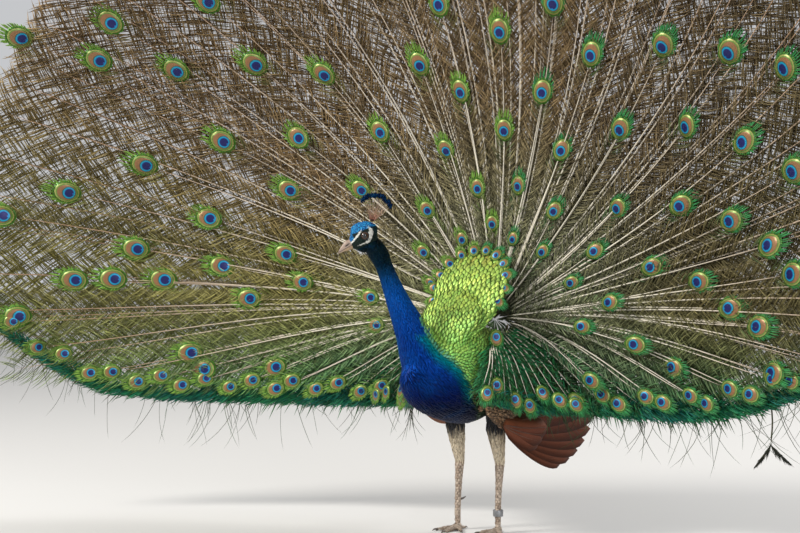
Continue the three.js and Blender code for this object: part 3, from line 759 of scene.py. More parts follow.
# the raised train
fan = {
    "rootForward": -0.070, "rootUp": 0.500, "lean": math.radians(-6), "curl": math.radians(42),
    "easeFrom": 0.42, "easeBy": 0.06,
    "edgeDrop": 0.205, "edgeSoft": 0.12, "rise": {1: (0.65, 0.4), -1: (1.11, 0.8)}, "reach": 1.44,
    "firstTier": 0.21, "tierStep": 0.118, "tiers": 11, "stepInner": 19.0, "stepOuter": 13.5, "sparseTiers": 6,
    "shaftFrom": 0.055, "barbFrom": 0.068, "barbStep": 0.0064, "barbLength": (0.05, 0.088), "rimStep": 0.058,
}


def fanOut(run):
    return (np.sin(fan["lean"] + fan["curl"] * run) - math.sin(fan["lean"])) / fan["curl"]


def fanPlace(turn, run, over=0.0):
    # turn from straight up (the bird's left is positive), distance along a feather, height over the front
    bend = fan["lean"] + fan["curl"] * run
    reach = fanOut(run) - over * np.sin(bend)
    forward = fan["rootForward"] + (math.cos(fan["lean"]) - np.cos(bend)) / fan["curl"]
    past = np.maximum(forward - fan["easeFrom"], 0)  # the rim curls forward less and less
    forward = forward - past + fan["easeBy"] * np.tanh(past / fan["easeBy"])
    return origin + np.stack([np.sin(turn) * reach, -forward - over * np.cos(bend),
            fan["rootUp"] + np.cos(turn) * reach], -1)


def fanFront(turn, run):
    return unit(fanPlace(turn, run, 0.01) - fanPlace(turn, run, 0.0))


def fanWidest(run, side):
    start, slope = fan["rise"][side]
    past = run - start
    rise = slope * (np.sqrt(past**2 + fan["edgeSoft"] ** 2) + past) * 0.5
    return math.pi / 2 + np.arcsin(np.minimum(0.9, (fan["edgeDrop"] - rise) / fanOut(run)))


def eyeSize(run):  # half the length of an eyespot inside its loose green edge
    return np.interp(run, (0.15, 0.21, 0.35, 0.6, 0.9), (0.0125, 0.0205, 0.0262, 0.0325, 0.0375))


# turn (hundredths of a radian) and run (cm) of the eyespots in the middle of the fan; the others follow by rows
eyedAt = [
    (-179, 61), (-175, 80), (-169, 83), (-163, 32), (-157, 127), (-150, 67), (-148, 113), (-147, 103), (-146, 90),
    (-142, 34), (-140, 53), (-139, 75), (-138, 98), (-135, 133), (-129, 59), (-127, 118), (-124, 81), (-115, 101),
    (-110, 19), (-103, 64), (-99, 85), (-98, 143), (-95, 122), (-88, 104), (-86, 25), (-86, 124), (-83, 48),
    (-83, 69), (-73, 89), (-68, 108), (-59, 75), (-58, 32), (-55, 55), (-41, 21), (-27, 43), (-24, 65), (-11, 32),
    (-10, 56), (-9, 78), (0, 23), (11, 46), (11, 70), (23, 33), (28, 20), (30, 57), (31, 79), (46, 45), (47, 70),
    (58, 31), (69, 21), (69, 58), (69, 82), (86, 93), (89, 71), (91, 43), (99, 103), (103, 32), (105, 82), (109, 58),
    (117, 23), (119, 92), (123, 70), (128, 45), (134, 79), (140, 57), (143, 34), (143, 84), (151, 65), (157, 73),
    (161, 26), (169, 41), (170, 78), (177, 50), (201, 32)]
sight, sideways = look, right


def pictured(spot):  # whether the camera sees a place
    gone = spot - origin
    depth = gone @ sight + view["away"]
    return abs((gone @ sideways + view["aside"]) / depth) < 0.262 and (gone[2] - view["height"]) / depth < 0.18


train = []  # turn, run, size of eyespot, height over the fan
for turn, run in eyedAt:
    over = 0.004 + 0.010 * (abs(turn) > 115) + 0.034 * (turn > 140 and run < 42)
    train.append((turn / 100, run / 100 + 0.004, eyeSize(run / 100), over))
for tier in range(fan["tiers"]):
    run = fan["firstTier"] + fan["tierStep"] * tier
    step = math.radians(fan["stepInner"] if tier < fan["sparseTiers"] else fan["stepOuter"])
    first = -12 * step + (0.5 * step if tier % 2 else 0) + math.radians(3)
    for k in range(25):
        turn = first + k * step + rng.normal(0, 0.022)
        here = run + rng.normal(0, 0.014)
        side = 1 if turn > 0 else -1
        if here < 1.40 and abs(turn) < fanWidest(here, side) - (0.072
                / fanOut(here)) and not pictured(fanPlace(turn, here)):
            train.append((turn, here, eyeSize(here), 0.0))
rimCount = 0
for side in (1, -1):
    run = 0.30
    while run < 1.37:
        turn = fanWidest(run, side) - (0.012 + 0.02 * (rimCount % 2) + rng.uniform(0, 0.008)) / fanOut(run)
        train.append((side * turn, run, 0.0225 + 0.004 * rng.random(), 0.016))
        run += fan["rimStep"] * rng.uniform(0.8, 1.15)
        rimCount += 1
train = np.array(train)
plainTurns = np.radians(np.linspace(-97, 97, 46)) + rng.normal(0, 0.012, 46)
plainRuns = np.where(np.abs(plainTurns) < math.radians(88), 1.415, 1.3) + rng.normal(0, 0.012, 46)
plain = np.stack([plainTurns, plainRuns, np.zeros(46), np.zeros(46)], -1)
feathers = np.vstack([train, plain])
print("train feathers", len(train), "eyed and", len(plain), "plain")


def shaftTurn(turn, share):
    # the lowest feathers leave the root nearer level and sweep down to the edge
    past = np.maximum(np.abs(turn) - math.radians(78), 0)
    return turn - np.sign(turn) * past * 0.6 * (1 - np.minimum(share, 1)) ** 1.6


def featherOver(run, extra):
    return 0.012 - 0.010 * run / fan["reach"] + extra


overs = featherOver(feathers[:, 1], feathers[:, 3]) + rng.uniform(-0.002, 0.003, len(feathers))

shaftShares = np.linspace(0, 1, 12)
lines, ups, backLines, backUps = [], [], [], []
for (turn, run, size, _), over in zip(feathers, overs):
    end = run - size * 0.55
    runs = fan["shaftFrom"] + (end - fan["shaftFrom"]) * shaftShares
    sway = 0.006 * math.sin(turn * 37) * np.sin(shaftShares * math.pi) / np.maximum(fanOut(runs), 0.1)
    turns = shaftTurn(turn, shaftShares) + sway
    lines.append(fanPlace(turns, runs, over + 0.0016))
    ups.append(fanFront(turns, runs)[1:-1])
    if run > 0.5:  # seen from behind
        backLines.append(fanPlace(turns, runs, -0.0065))
        backUps.append(-ups[-1])
lines, ups = np.array(lines), np.array(ups)
thick = np.linspace(0.0027, 0.0010, 10)[None] * np.interp(feathers[:, 1], (0.15, 0.5), (0.45, 1))[:, None]
points, faces, count = blades(lines, ups, thick, thick * 1.3)
shaftRuns = bladeShares(10)[0]
outward = feathers[:, 1:2] * shaftRuns[None]
tint = blend(hue["shaft"], hue["shaftTan"], smooth(outward, 0.35, 1.2))
tint = tint * rng.uniform(0.8, 1.1, (len(tint), 1, 1))
shaftPaint = Paint("quill", Roughness=0.42)
grain = shaftPaint.noise(600, 2)
quillLook = shaftPaint.use(shaftPaint.mix(grain.within(0.3, 0.8) * 0.3, shaftPaint.attribute("tint"),
        (0.2, 0.13, 0.07)), 0.35 + grain * 0.2, None, grain, 0.2, 0.0004)
quillPlaces = np.stack([0.5 + feathers[:, 0] / 4.6, feathers[:, 1] / 1.5], -1)
parts = [(points, faces, count, tint, quillPlaces, 10)]
isLong = feathers[:, 1] > 0.5
points, faces, count = blades(np.array(backLines), np.array(backUps), thick[isLong] * 0.8, thick[isLong])
parts.append((points, faces, count, tint[isLong] * 0.75, quillPlaces[isLong] + np.array([0.004, 0]), 10))


def fanTint(turn, run):
    # bronze over the top, olive to the bird's right, greener low down and towards the edge, with painted light and
    # shade by side
    turn, run = np.broadcast_arrays(turn, run)
    degrees = np.degrees(turn)
    tint = np.broadcast_to(hue["copper"], turn.shape + (3,))
    tint = blend(tint, hue["olive"], 0.2 + 0.65 * smooth(-degrees, 52, 84) + 0.45 * smooth(degrees, 40, 85))
    tint = blend(tint, hue["green"], smooth(np.abs(degrees), 82, 108) * 0.85)
    tint = blend(tint, hue["emerald"], smooth(np.abs(degrees), 96, 125) * 0.8)
    # painted light and shade: darker on the bird's left between 15 and 50 degrees from the top, lighter lower down on
    # both sides
    light = 1.1 - 0.4 * smooth(degrees, 15, 50) + 0.5 * smooth(degrees, 70, 95) + 0.8 * smooth(-degrees, 40, 95)
    tint = tint * light[..., None]
    return blend(tint, (0.26, 0.34, 0.19), (1 - smooth(run, 0.15, 0.6)) * 0.6)


barbSections = 2
sBarb = np.linspace(0, 1, barbSections + 2)
rows = {"line": [], "up": [], "tint": [], "place": [], "turn": []}
for (turn, run, size, _), over in zip(feathers, overs):
    if run < 0.19:
        continue
    end = run - size * 0.8 if size else run
    for side in (-1, 1):
        starts = np.arange(fan["barbFrom"] + 0.03 * rng.random(), end, fan["barbStep"])
        starts = starts + rng.uniform(-0.5, 0.5, len(starts)) * fan["barbStep"]
        share = (starts - fan["shaftFrom"]) / (run - fan["shaftFrom"])
        near = smooth(starts, run - 0.11, run - 0.01)  # by the eyespot the barbs draw in round it
        length = np.interp(starts, (0.1, 0.3, 1.0), (0.03, *fan["barbLength"])) * rng.uniform(0.7, 1.15, len(starts))
        length *= 1 - 0.35 * near
        first = np.radians(62 - 22 * near + rng.normal(0, 3.5, len(starts)))
        last = np.radians(22 - 8 * near + rng.normal(0, 4.5, len(starts)))
        angle = first[:, None] + (last - first)[:, None] * sBarb[None] / 2
        across = side * length[:, None] * sBarb * np.sin(angle)
        runs = starts[:, None] + length[:, None] * sBarb * np.cos(angle)
        base = shaftTurn(turn, share)
        turns = base[:, None] + across / np.maximum(fanOut(runs), 0.08)
        sway = rng.uniform(-0.010, 0.014, len(starts))
        overAll = over + sway[:, None] * sBarb**1.5
        rows["line"].append(fanPlace(turns, runs, overAll))
        front = fanFront(base, starts)
        roll = rng.normal(0, 0.4, len(starts))[:, None]
        lead = unit(rows["line"][-1][:, -1] - rows["line"][-1][:, 0])
        rows["up"].append(front * np.cos(roll) + np.cross(lead, front) * np.sin(roll))
        # painted highlights: a few barbs made much brighter and paler, as glints of light
        barbHighlight = rng.random((len(starts), 1)) ** 2
        colour = fanTint(turns, runs) * rng.uniform(0.75, 1.2) * (0.4 + 1.2 * barbHighlight[..., None])
        colour = blend(colour, (0.50, 0.45, 0.27), barbHighlight * 0.25)
        # painted shade: the green by each eyespot deeper on the bird's left side of the fan, brighter on the right
        colour = blend(colour, hue["haloDeep"] if turn > 0 else hue["haloGreen"], near[:, None] * 0.6 * (size > 0))
        colour = colour * np.array([0.8, 1.0, 1.15, 1.25])[None, :, None]
        rows["tint"].append(colour)
        rows["place"].append(np.stack([base, starts], -1))
        rows["turn"].append(np.full(len(starts), turn))
rows = {key: np.concatenate(value) for key, value in rows.items()}
print("barbs", len(rows["turn"]))
barbPaint = Paint("trainBarbs", Roughness=0.5, Metallic=0.25)
glint = barbPaint.noise(60, 2)
fine = barbPaint.noise(1400, 1)
tone = barbPaint.mix(glint.within(0.45, 0.8) * 0.4, barbPaint.attribute("tint"), (0.16, 0.12, 0.03))
barbLook = barbPaint.use(barbPaint.mix(fine.within(0.3, 0.8) * 0.4, tone, (0.01, 0.012, 0.006)), 0.38 + glint * 0.3,
        None, fine, 0.25, 0.0004)
cuts = np.radians([-200, -72, -38, -4, 30, 68, 200])
cornerTo = np.r_[0, np.repeat(np.arange(1, barbSections + 1), 3), barbSections + 1]
for k in range(len(cuts) - 1):
    chosen = (rows["turn"] >= cuts[k]) & (rows["turn"] < cuts[k + 1])
    half = np.interp(rows["place"][chosen][:, 1:], (0.35, 0.9), (0.0012, 0.00095))
    points, faces, count = blades(rows["line"][chosen], rows["up"][chosen], half, 0.0005)
    spots = rows["place"][chosen]
    low, high = spots.min(0), spots.max(0)
    spots = 0.01 + (spots - low) / (high - low) * 0.975
    coatPiece(f"trainBarbs_{k + 1}", "train_green",
            [(points, faces, count, rows["tint"][chosen][:, cornerTo], spots, barbSections)], barbLook)

# a plainer layer of wider barbs behind, so that little light comes through
back = {"count": 23500, "root": 1700, "low": 6000}
backCount = sum(back.values())
runs = np.concatenate([fan["reach"] * np.sqrt(rng.uniform(0.015, 0.93, back["count"])),
        rng.uniform(0.0, 0.19, back["root"]), rng.uniform(0.15, 0.62, back["low"])])
turns = np.concatenate([rng.uniform(-1, 1, back["count"]), rng.uniform(-0.9, 0.9, back["root"]),
        rng.uniform(0.6, 1, back["low"]) * rng.choice([-1, 1], back["low"])])
edge = np.where(turns > 0, fanWidest(runs, 1), fanWidest(runs, -1))
turns = turns * (edge - 0.02 / fanOut(runs))
side = rng.choice([-1, 1], backCount)
length = np.interp(runs, (0.15, 0.5), (0.05, 0.085)) * rng.uniform(0.8, 1.2, backCount)
slant = np.radians(rng.normal(40, 4, backCount))
line = []
for share in (0, 0.5, 1):
    here = np.minimum(runs + length * share * np.cos(slant), 1.45)
    line.append(fanPlace(turns + side * length * share * np.sin(slant) / np.maximum(fanOut(here), 0.08), here,
            -0.001 - 0.004 * share))
line = np.stack(line, 1)
points, faces, count = blades(line, fanFront(turns, runs),
        np.interp(runs, (0.1, 0.2, 0.6, 1.1), (0.0030, 0.0025, 0.0023, 0.0018))[:, None], 0.0005)
colour = fanTint(turns, runs) * rng.uniform(0.35, 1.15, (backCount, 1)) * np.interp(runs, (0.05, 0.25),
        (0.5, 1))[:, None]
colour = colour[:, None] * np.array([0.9, 1, 1, 1, 1.1])[None, :, None]
spots = np.stack([0.5 + turns / 4.8, runs / 1.5], -1)
coatPiece("trainBackBarbs", "train_green", [(points, faces, count, colour, spots, 1)], barbLook)
coatPiece("trainQuills", "train_green", parts, quillLook,
        *[f"train_inner_{k}" for k in range(1, 7)], *[f"train_outer_{k}" for k in range(1, 13)])

# the lowest feathers, which hang over each flank, and the line of the train's edge
edge = {"near": [(84, 170, 344), (114, 142, 328), (142, 96, 318), (188, 28, 304)], "from": 0.31, "to": 1.33}
flank = {"count": 16, "starts": [(82, 120, 440), (34, -64, 494)], "swell": 0.012, "to": 0.41, "barbs": 150,
        "barbLength": 0.040,
        "eyes": [(113, 183, 342, 20), (118, 146, 357, 21), (146, 108, 323, 21), (188, 52, 338, 20),
        (171, 85, 310, 19), (91, 96, 463, 21), (232, 55, 323, 21), (268, 44, 314, 20)]}
# round the top of the back
rimEyes = {"centre": (0, 40, 580), "reach": (93, 88), "count": 12, "to": 112, "half": (15, 17)}


def edgePath(side):
    runs = np.linspace(edge["from"], edge["to"], 9)
    near = place([(side * x, forward, up) for x, forward, up in edge["near"]])
    return np.vstack([near, fanPlace(side * fanWidest(runs, side), runs)])


flankShafts, flankUps, flankBarbs, flankBarbUps, flankColours, flankSpots = [], [], [], [], [], []
for side in (1, -1):
    outwards = unit(np.array([side * 0.80, -0.50, 0.30]))
    for k in range(flank["count"]):
        part = k / (flank["count"] - 1)
        start = place([[side, 1, 1] * (np.array(flank["starts"][0]) * (1 - part) + np.array(flank["starts"][1])
                * part)])[0]
        end = along(edgePath(side), [0.005 + flank["to"] * part])[0] + np.array([0, 0, 0.004])
        middle = start * 0.55 + end * 0.45 + outwards * flank["swell"] + np.array([0, 0, 0.012 * part])
        shaft = along(np.array([start, middle, end]), np.linspace(0, 1, 8)) + outwards * 0.0115
        flankShafts.append(shaft)
        flankUps.append(np.repeat([outwards], 6, 0))
        count = flank["barbs"]
        at = rng.uniform(0.04, 1, count)
        base, lead = along(shaft, at), unit(along(shaft, np.minimum(at + 0.03, 1.0)) - along(shaft, at - 0.03))
        across = unit(np.cross(outwards, lead)) * rng.choice([-1.0, 1.0], count)[:, None]
        length = flank["barbLength"] * rng.uniform(0.6, 1.15, count)
        first, last = rng.normal(58, 9, count), rng.normal(20, 10, count)
        deep = rng.uniform(-0.018, 0.0, count)
        rows = []
        for s in sBarb:
            angle = np.radians(first + (last - first) * s / 2)
            rows.append(base + outwards * (deep * min(1, s * 2 + 0.2))[:, None] + lead
                    * (length * s * np.cos(angle))[:, None] + across * (length * s * np.sin(angle))[:, None])
        flankBarbs.append(np.stack(rows, 1))
        flankBarbUps.append(unit(outwards + rng.normal(0, 0.35, (count, 3))))
        tone = blend(hue["emerald"], hue["green"], rng.random(count))
        tone = blend(tone, hue["haloDeep"], (rng.random(count) < 0.25) * 0.6) * rng.uniform(0.35, 1.8, (count, 1))
        flankColours.append(tone)
        flankSpots.append(np.stack([(0.5 if side > 0 else 0.01) + 0.48 * (k + 0.5 * rng.random(count))
                / flank["count"], at * 0.96 + 0.01], -1))
points, faces, count = blades(np.array(flankShafts), np.array(flankUps),
        0.0014 * np.array([1.3, 1.2, 1.1, 1, 0.8, 0.6]), 0.0016)
flankParts = [(points, faces, count, np.repeat([hue["shaft"]], len(flankShafts), 0),
        np.stack([np.linspace(0.02, 0.98, len(flankShafts)), np.full(len(flankShafts), 0.985)], -1), 6)]
coatPiece("flankQuills", "train_green", flankParts, quillLook)
points, faces, count = blades(np.concatenate(flankBarbs), np.concatenate(flankBarbUps), 0.00115, 0.0005)
coatPiece("flankBarbs", "train_green", [(points, faces, count, np.concatenate(flankColours)[:, None]
        * np.array([0.6, 1.0, 1.2, 1.3])[None, cornerTo][..., None], np.concatenate(flankSpots), 2)], barbLook)

# eyespots
eyed = feathers[feathers[:, 2] > 0]
eyedOvers = overs[feathers[:, 2] > 0] + 0.0045
rimPoints = 20
rimAngle = np.arange(rimPoints) / rimPoints * 2 * math.pi
outline = np.stack([np.sin(rimAngle) * 0.78 * (1 + 0.05 * np.cos(rimAngle)), np.cos(rimAngle)], -1)
outline *= (1 + 0.035 * np.cos(np.arange(rimPoints) * math.pi))[:, None]
disc = np.vstack([[(0, -0.1)], outline * 0.55, outline, outline * 0.97, [(0, 0)]])
discHeight = np.r_[0.13, np.full(rimPoints, 0.09), np.full(rimPoints, -0.02), np.full(rimPoints, -0.07), -0.06]
discBack = np.r_[np.zeros(1 + 2 * rimPoints), np.ones(rimPoints + 1)]
discFaces = []
for k in range(rimPoints):
    after = (k + 1) % rimPoints
    inner, outer, back, last = 1, 1 + rimPoints, 1 + 2 * rimPoints, 1 + 3 * rimPoints
    discFaces += [(0, inner + after, inner + k), (inner + k, inner + after, outer + after),
            (inner + k, outer + after, outer + k),
            (outer + k, outer + after, back + after), (outer + k, back + after, back + k), (last, back + k,
            back + after)]
discFaces = np.array(discFaces)
at = fanPlace(eyed[:, 0], eyed[:, 1], eyedOvers)
tipward = unit(fanPlace(eyed[:, 0], eyed[:, 1] + 0.01, eyedOvers) - at)
front = fanFront(eyed[:, 0], eyed[:, 1])
eyeSizes, onLeft = eyed[:, 2], eyed[:, 0] > 0.2
for side in (1, -1):
    for x, forward, up, half in flank["eyes"]:
        spot = place((side * x, forward, up))
        at, eyeSizes, onLeft = np.vstack([at, spot]), np.append(eyeSizes, half / 1000), np.append(onLeft, side > 0)
        tipward = np.vstack([tipward, unit(spot - place((side * 34, 20, 494)))])
        front = np.vstack([front, unit(np.array([side * 0.55, -0.80, 0.12]))])
for k in range(rimEyes["count"]):
    turn = math.radians(rimEyes["to"] * (2 * k / (rimEyes["count"] - 1) - 1))
    x, forward, up = rimEyes["centre"]
    x, up = x + rimEyes["reach"][0] * math.sin(turn), up + rimEyes["reach"][1] * math.cos(turn)
    spot = place((x, forward + 24 - 0.62 * (up - 572), up))
    at, onLeft = np.vstack([at, spot]), np.append(onLeft, turn > 0)
    eyeSizes = np.append(eyeSizes, rimEyes["half"][k % 2] / 1000)
    tipward = np.vstack([tipward, unit(spot - place(rimEyes["centre"]))])
    front = np.vstack([front, unit(np.array([0.25, -0.9, 0.35]))])
front = unit(front + rng.normal(0, 0.10, at.shape))
acrossEye = unit(np.cross(tipward, front))
tipward = np.cross(front, acrossEye)
size = eyeSizes[:, None, None]
corners = (at[:, None] + acrossEye[:, None] * disc[None, :, :1] * size + tipward[:, None] * disc[None, :, 1:] * size
        + front[:, None] * discHeight[None, :, None] * size)
count = len(disc)
columns = 14
cell = np.arange(len(at))
low = np.stack([(cell % columns) / columns, (cell // columns) / 18], -1)
frontMap = low[:, None] + (disc[None] * 0.47 + 0.5) * np.array([1 / columns, 1 / 18])
backLow = np.stack([(cell % 50) / 50, 0.9 + (cell // 50) * 0.018], -1)
backMap = backLow[:, None] + (disc[None] * 0.4 + 0.5) * 0.016
places = np.where(discBack[None, :, None] > 0, backMap, frontMap)
eyePaint = Paint("eyespot", Roughness=0.3, Metallic=0.3)
spotMap = eyePaint.node("ShaderNodeUVMap", {"uv_map": "eyeMap"})
xyz = eyePaint.node("ShaderNodeSeparateXYZ", None, spotMap)
vertical = Sock(eyePaint, xyz.socket.node.outputs[1])
streak = eyePaint.noise(300, 2)
x, y = xyz * 2 - 1, vertical * 2 - 1


def ring(cx, cy, rx, ry, soft=0.06):
    away = (((x - cx) / rx) ** 2 + ((y - cy) / ry) ** 2) ** 0.5 + (streak - 0.5) * 0.12
    return 1 - away.within(1 - soft, 1 + soft)


tone = eyePaint.mix(ring(0, 0.0, 0.72, 0.92), (0.13, 0.33, 0.045), (0.035, 0.15, 0.02))
tone = eyePaint.mix(ring(0, -0.01, 0.64, 0.83), tone, (0.46, 0.44, 0.13))
tone = eyePaint.mix(ring(0, 0.0, 0.59, 0.76), tone, (0.10, 0.24, 0.035))
tone = eyePaint.mix(ring(0, 0.02, 0.52, 0.66), tone, (0.27, 0.135, 0.055))
tone = eyePaint.mix(ring(0, -0.14, 0.43, 0.46, 0.08), tone, (0.005, 0.035, 0.03))
tone = eyePaint.mix(ring(0, -0.14, 0.385, 0.41, 0.1), tone, (0.0, 0.32, 0.46))
tone = eyePaint.mix(ring(0, -0.15, 0.31, 0.33, 0.14), tone, (0.0, 0.13, 0.46))
pupil = ring(0, -0.16, 0.28, 0.30, 0.1) * (1 - ring(0, -0.47, 0.07, 0.10, 0.2))
tone = eyePaint.mix(pupil, tone, (0.004, 0.006, 0.10))
tone = eyePaint.mix(eyePaint.attribute("isBack", "Fac"), tone, (0.09, 0.07, 0.045))
tone = eyePaint.mix(streak.within(0.35, 0.85) * 0.2, tone, (0.01, 0.02, 0.01))
eyeLook = eyePaint.use(tone, 0.26 + streak * 0.25, None, streak, 0.25, 0.0004)
eyespots = meshFrom("eyespots", corners.reshape(-1, 3),
        (discFaces[None] + (np.arange(len(at)) * count)[:, None, None]).reshape(-1, 3),
        None, places.reshape(-1, 2), {"eyeMap": np.tile(disc * 0.5 + 0.5, (len(at), 1))},
        {"isBack": np.tile(discBack, len(at))}, eyeLook)
finishPiece(eyespots, "train_green")

fringe = {"barbs": 46, "clear": 0.006, "bend": 0.02, "half": (0.0008, 0.0017)}
haloAngle = (np.arange(fringe["barbs"]) + 0.5) / fringe["barbs"] * 2 * math.pi
angle = haloAngle[None] + rng.normal(0, 0.05, (len(at), fringe["barbs"]))
outX, outY = np.sin(angle) * 0.78, np.cos(angle)
reach = (0.42 + 0.55 * smooth(np.cos(angle), 0.2, 1.0)) * rng.uniform(0.75, 1.15, angle.shape)
size = eyeSizes[:, None]
line = []
for share in (0, 0.34, 0.68, 1):
    gx = (outX * (0.82 + reach * share * (0.9 - 0.45 * share * smooth(np.cos(angle), 0.0, 1.0)))) * size
    gy = (outY * 0.82 + reach * share * (0.55 * outY + 0.5)) * size
    over = (0.02 - 0.10 * share) * size
    line.append(at[:, None] + acrossEye[:, None] * gx[..., None] + tipward[:, None] * gy[..., None]
            + front[:, None] * over[..., None])
line = np.stack(line, 2).reshape(-1, 4, 3)
past = np.maximum(cadBox[0][1] - fringe["clear"] - line[..., 1], 0)  # at the rim the fringe bends up, not out
line[..., 1] += past - fringe["bend"] * np.tanh(past / fringe["bend"])
wide = np.repeat(np.interp(eyeSizes, (0.012, 0.034), fringe["half"]), fringe["barbs"])[:, None]
points, faces, count = blades(line, np.repeat(front, fringe["barbs"], 0), wide, wide * 0.4)
# painted shade: the fringes deeper green on the bird's left side of the fan, brighter on the right
base = np.where(onLeft[:, None], [hue["haloDeep"]], [hue["haloGreen"]])
colour = np.repeat(base, fringe["barbs"], 0)[:, None] * np.array([1.3, 1.0, 0.8, 0.6])[None, :, None]
colour = colour * rng.uniform(0.7, 1.3, (len(colour), 1, 1))
spots = (low[:, None] + (np.stack([outX, outY], -1) * 0.45 + 0.5) * np.array([1 / columns, 1 / 18])
        * 0.96).reshape(-1, 2)
coatPiece("eyespotFringe", "train_green", [(points, faces, count, colour[:, cornerTo], spots, 2)], barbLook)


# the dense green edge of the train, and what hangs from it
hedge = {"barbs": 5600, "length": (0.032, 0.05), "threads": 95, "threadLength": (0.05, 0.17)}
edgePaint = Paint("edgeBarbs", Roughness=0.4, Metallic=0.3)
glint = edgePaint.noise(45, 2)
fine = edgePaint.noise(1200, 1)
tone = edgePaint.mix(glint.within(0.4, 0.75) * 0.55, edgePaint.attribute("tint"), hue["teal"])
edgeLook = edgePaint.use(edgePaint.mix(fine.within(0.3, 0.8) * 0.5, tone, (0.001, 0.014, 0.008)), 0.3 + fine * 0.3,
        None, fine, 0.25, 0.0004)
threadParts = []
for side, sideName in ((1, "left"), (-1, "right")):
    path = edgePath(side)
    share = np.linspace(0, 1, 240)
    walked = walkedAlong(along(path, share))
    at = np.sort(rng.uniform(-0.02, 1, hedge["barbs"])).clip(0, 1)
    spot = np.interp(at * walked[-1], walked, share)
    root, lead = along(path, spot), unit(along(path, np.minimum(spot + 0.02, 1))
            - along(path, np.maximum(spot - 0.02, 0)))
    front = unit(np.array([0, -1.0, 0.15]) - lead * (lead @ np.array([0, -1.0, 0.15]))[:, None])
    below = unit(np.cross(front, lead))
    below *= np.sign(-below[:, 2:3])
    count = len(at)
    depthIn = rng.normal(0, 0.0042, count)
    upIn = rng.uniform(-0.006, 0.016, count)
    taper = np.interp(at, (0, 0.03, 0.12, 0.3, 0.75, 1), (0.4, 0.7, 0.75, 1, 1, 0.45))
    length = rng.uniform(*hedge["length"], count) * taper
    lift = np.where(rng.random(count) < 0.22, -1.0, 1.0)  # some barbs stand up into the fan
    first, last = rng.normal(50, 8, count), rng.normal(14, 8, count)
    line = []
    for s in sBarb:
        angle = np.radians(first + (last - first) * s / 2)
        line.append(root - below * (upIn * taper)[:, None] + front
                * (depthIn + rng.normal(0, 0.0012, count) * s)[:, None]
                + lead * (length * s * np.cos(angle))[:, None] + below * (lift * length * s * np.sin(angle))[:, None])
    line = np.stack(line, 1)
    colour = blend(hue["emerald"], hue["teal"], smooth(np.sin(at * 23) + rng.normal(0, 0.5, count), -0.2, 1.4))
    colour = blend(colour, hue["haloDeep"], (rng.random(count) < 0.25) * 0.6)
    colour = colour[:, None] * rng.uniform(0.45, 1.4, (count, 1, 1)) * np.array([0.6, 1, 1.15, 0.9])[None, :, None]
    roll = rng.normal(0, 0.5, count)[:, None]
    points, faces, size = blades(line, front * np.cos(roll) + below * np.sin(roll), 0.00125, 0.0005)
    spots = np.stack([at * 0.97 + 0.01, 0.5 + depthIn * 25], -1)
    coatPiece(f"edgeBarbs_{sideName}", "edge_green", [(points, faces, size, colour[:, cornerTo], spots, 2)], edgeLook,
            f"train_edge_{sideName}")
    count = hedge["threads"]
    at = rng.uniform(0.12, 0.98, count)
    spot = np.interp(at * walked[-1], walked, share)
    root = along(path, spot)
    length = rng.uniform(*hedge["threadLength"], count) * np.interp(at, (0.1, 0.5, 1), (0.6, 1, 0.8))
    sway, swing = rng.normal(0, 0.25, (count, 2)), rng.normal(0, 0.35, (count, 2))
    line = np.stack([root + np.stack([(sway[:, 0] * s + swing[:, 0] * s * s) * length,
            (sway[:, 1] * s + swing[:, 1] * s * s) * length * 0.5,
            -0.008 - length * (s - 0.1 * s * s)], -1) for s in np.linspace(0, 1, 7)], 1)
    points, faces, size = blades(line, np.repeat([[0, -1.0, 0]], count, 0) + rng.normal(0, 0.3, (count, 3)),
            0.0007 * np.array([1, 1, 0.9, 0.8, 0.6]), 0.0006)
    colour = blend((0.03, 0.022, 0.012), hue["green"], rng.random(count) * 0.7)
    threadParts.append((points, faces, size, colour,
            np.stack([at * 0.48 + (0.5 if side > 0 else 0.01), np.full(count, 0.2)], -1), 5))
# one fishtail plume hangs loose near the left end, its two arms spread
plume = {"root": 726, "fork": (1, 0, -99), "arms": ((-32, 19, -52), (41, -25, -48)), "barbs": 150}
rimLine = along(edgePath(1), np.linspace(0, 1, 300))
rootAt = rimLine[np.abs(unplace(rimLine)[:, 0] - plume["root"]).argmin()]
across = np.array([1, -1, 1]) / 1000  # from millimetres of the bird's frame to the world's
forkAt = rootAt + np.array(plume["fork"]) * across
line = along(np.array([rootAt, (rootAt + forkAt) / 2 + np.array([0.004, 0, 0]), forkAt]), np.linspace(0, 1, 7))[None]
points, faces, size = blades(line, np.array([[0, -1.0, 0]]), 0.0018, 0.0018)
threadParts.append((points, faces, size, np.array([(0.05, 0.045, 0.02)]), np.array([[0.3, 0.8]]), 5))
for arm in plume["arms"]:
    count, arm = plume["barbs"], np.array(arm) * across
    s = rng.random((count, 1)) * 0.78 - 0.12
    end = forkAt + arm * (s + rng.uniform(0.22, 0.36, (count, 1))) + rng.normal(0, 0.0015, (count, 3))
    end -= np.array([0, 0, 0.022]) * rng.random((count, 1)) ** 1.5 * (0.85 - s)
    line = np.stack([forkAt + arm * s * 0.9, forkAt + arm * (s + 0.12) - np.array([0, 0, 0.001]), end], 1)
    points, faces, size = blades(line, np.repeat([[0, -1.0, 0.0]], count, 0), 0.0012, 0.0004)
    threadParts.append((points, faces, size, shaded(np.repeat([(0.02, 0.024, 0.012)], count, 0), 0.4),
            np.c_[s + 0.14, np.full(count, 0.6)], 1))
coatPiece("hangingThreads", "train_green", threadParts, barbLook)

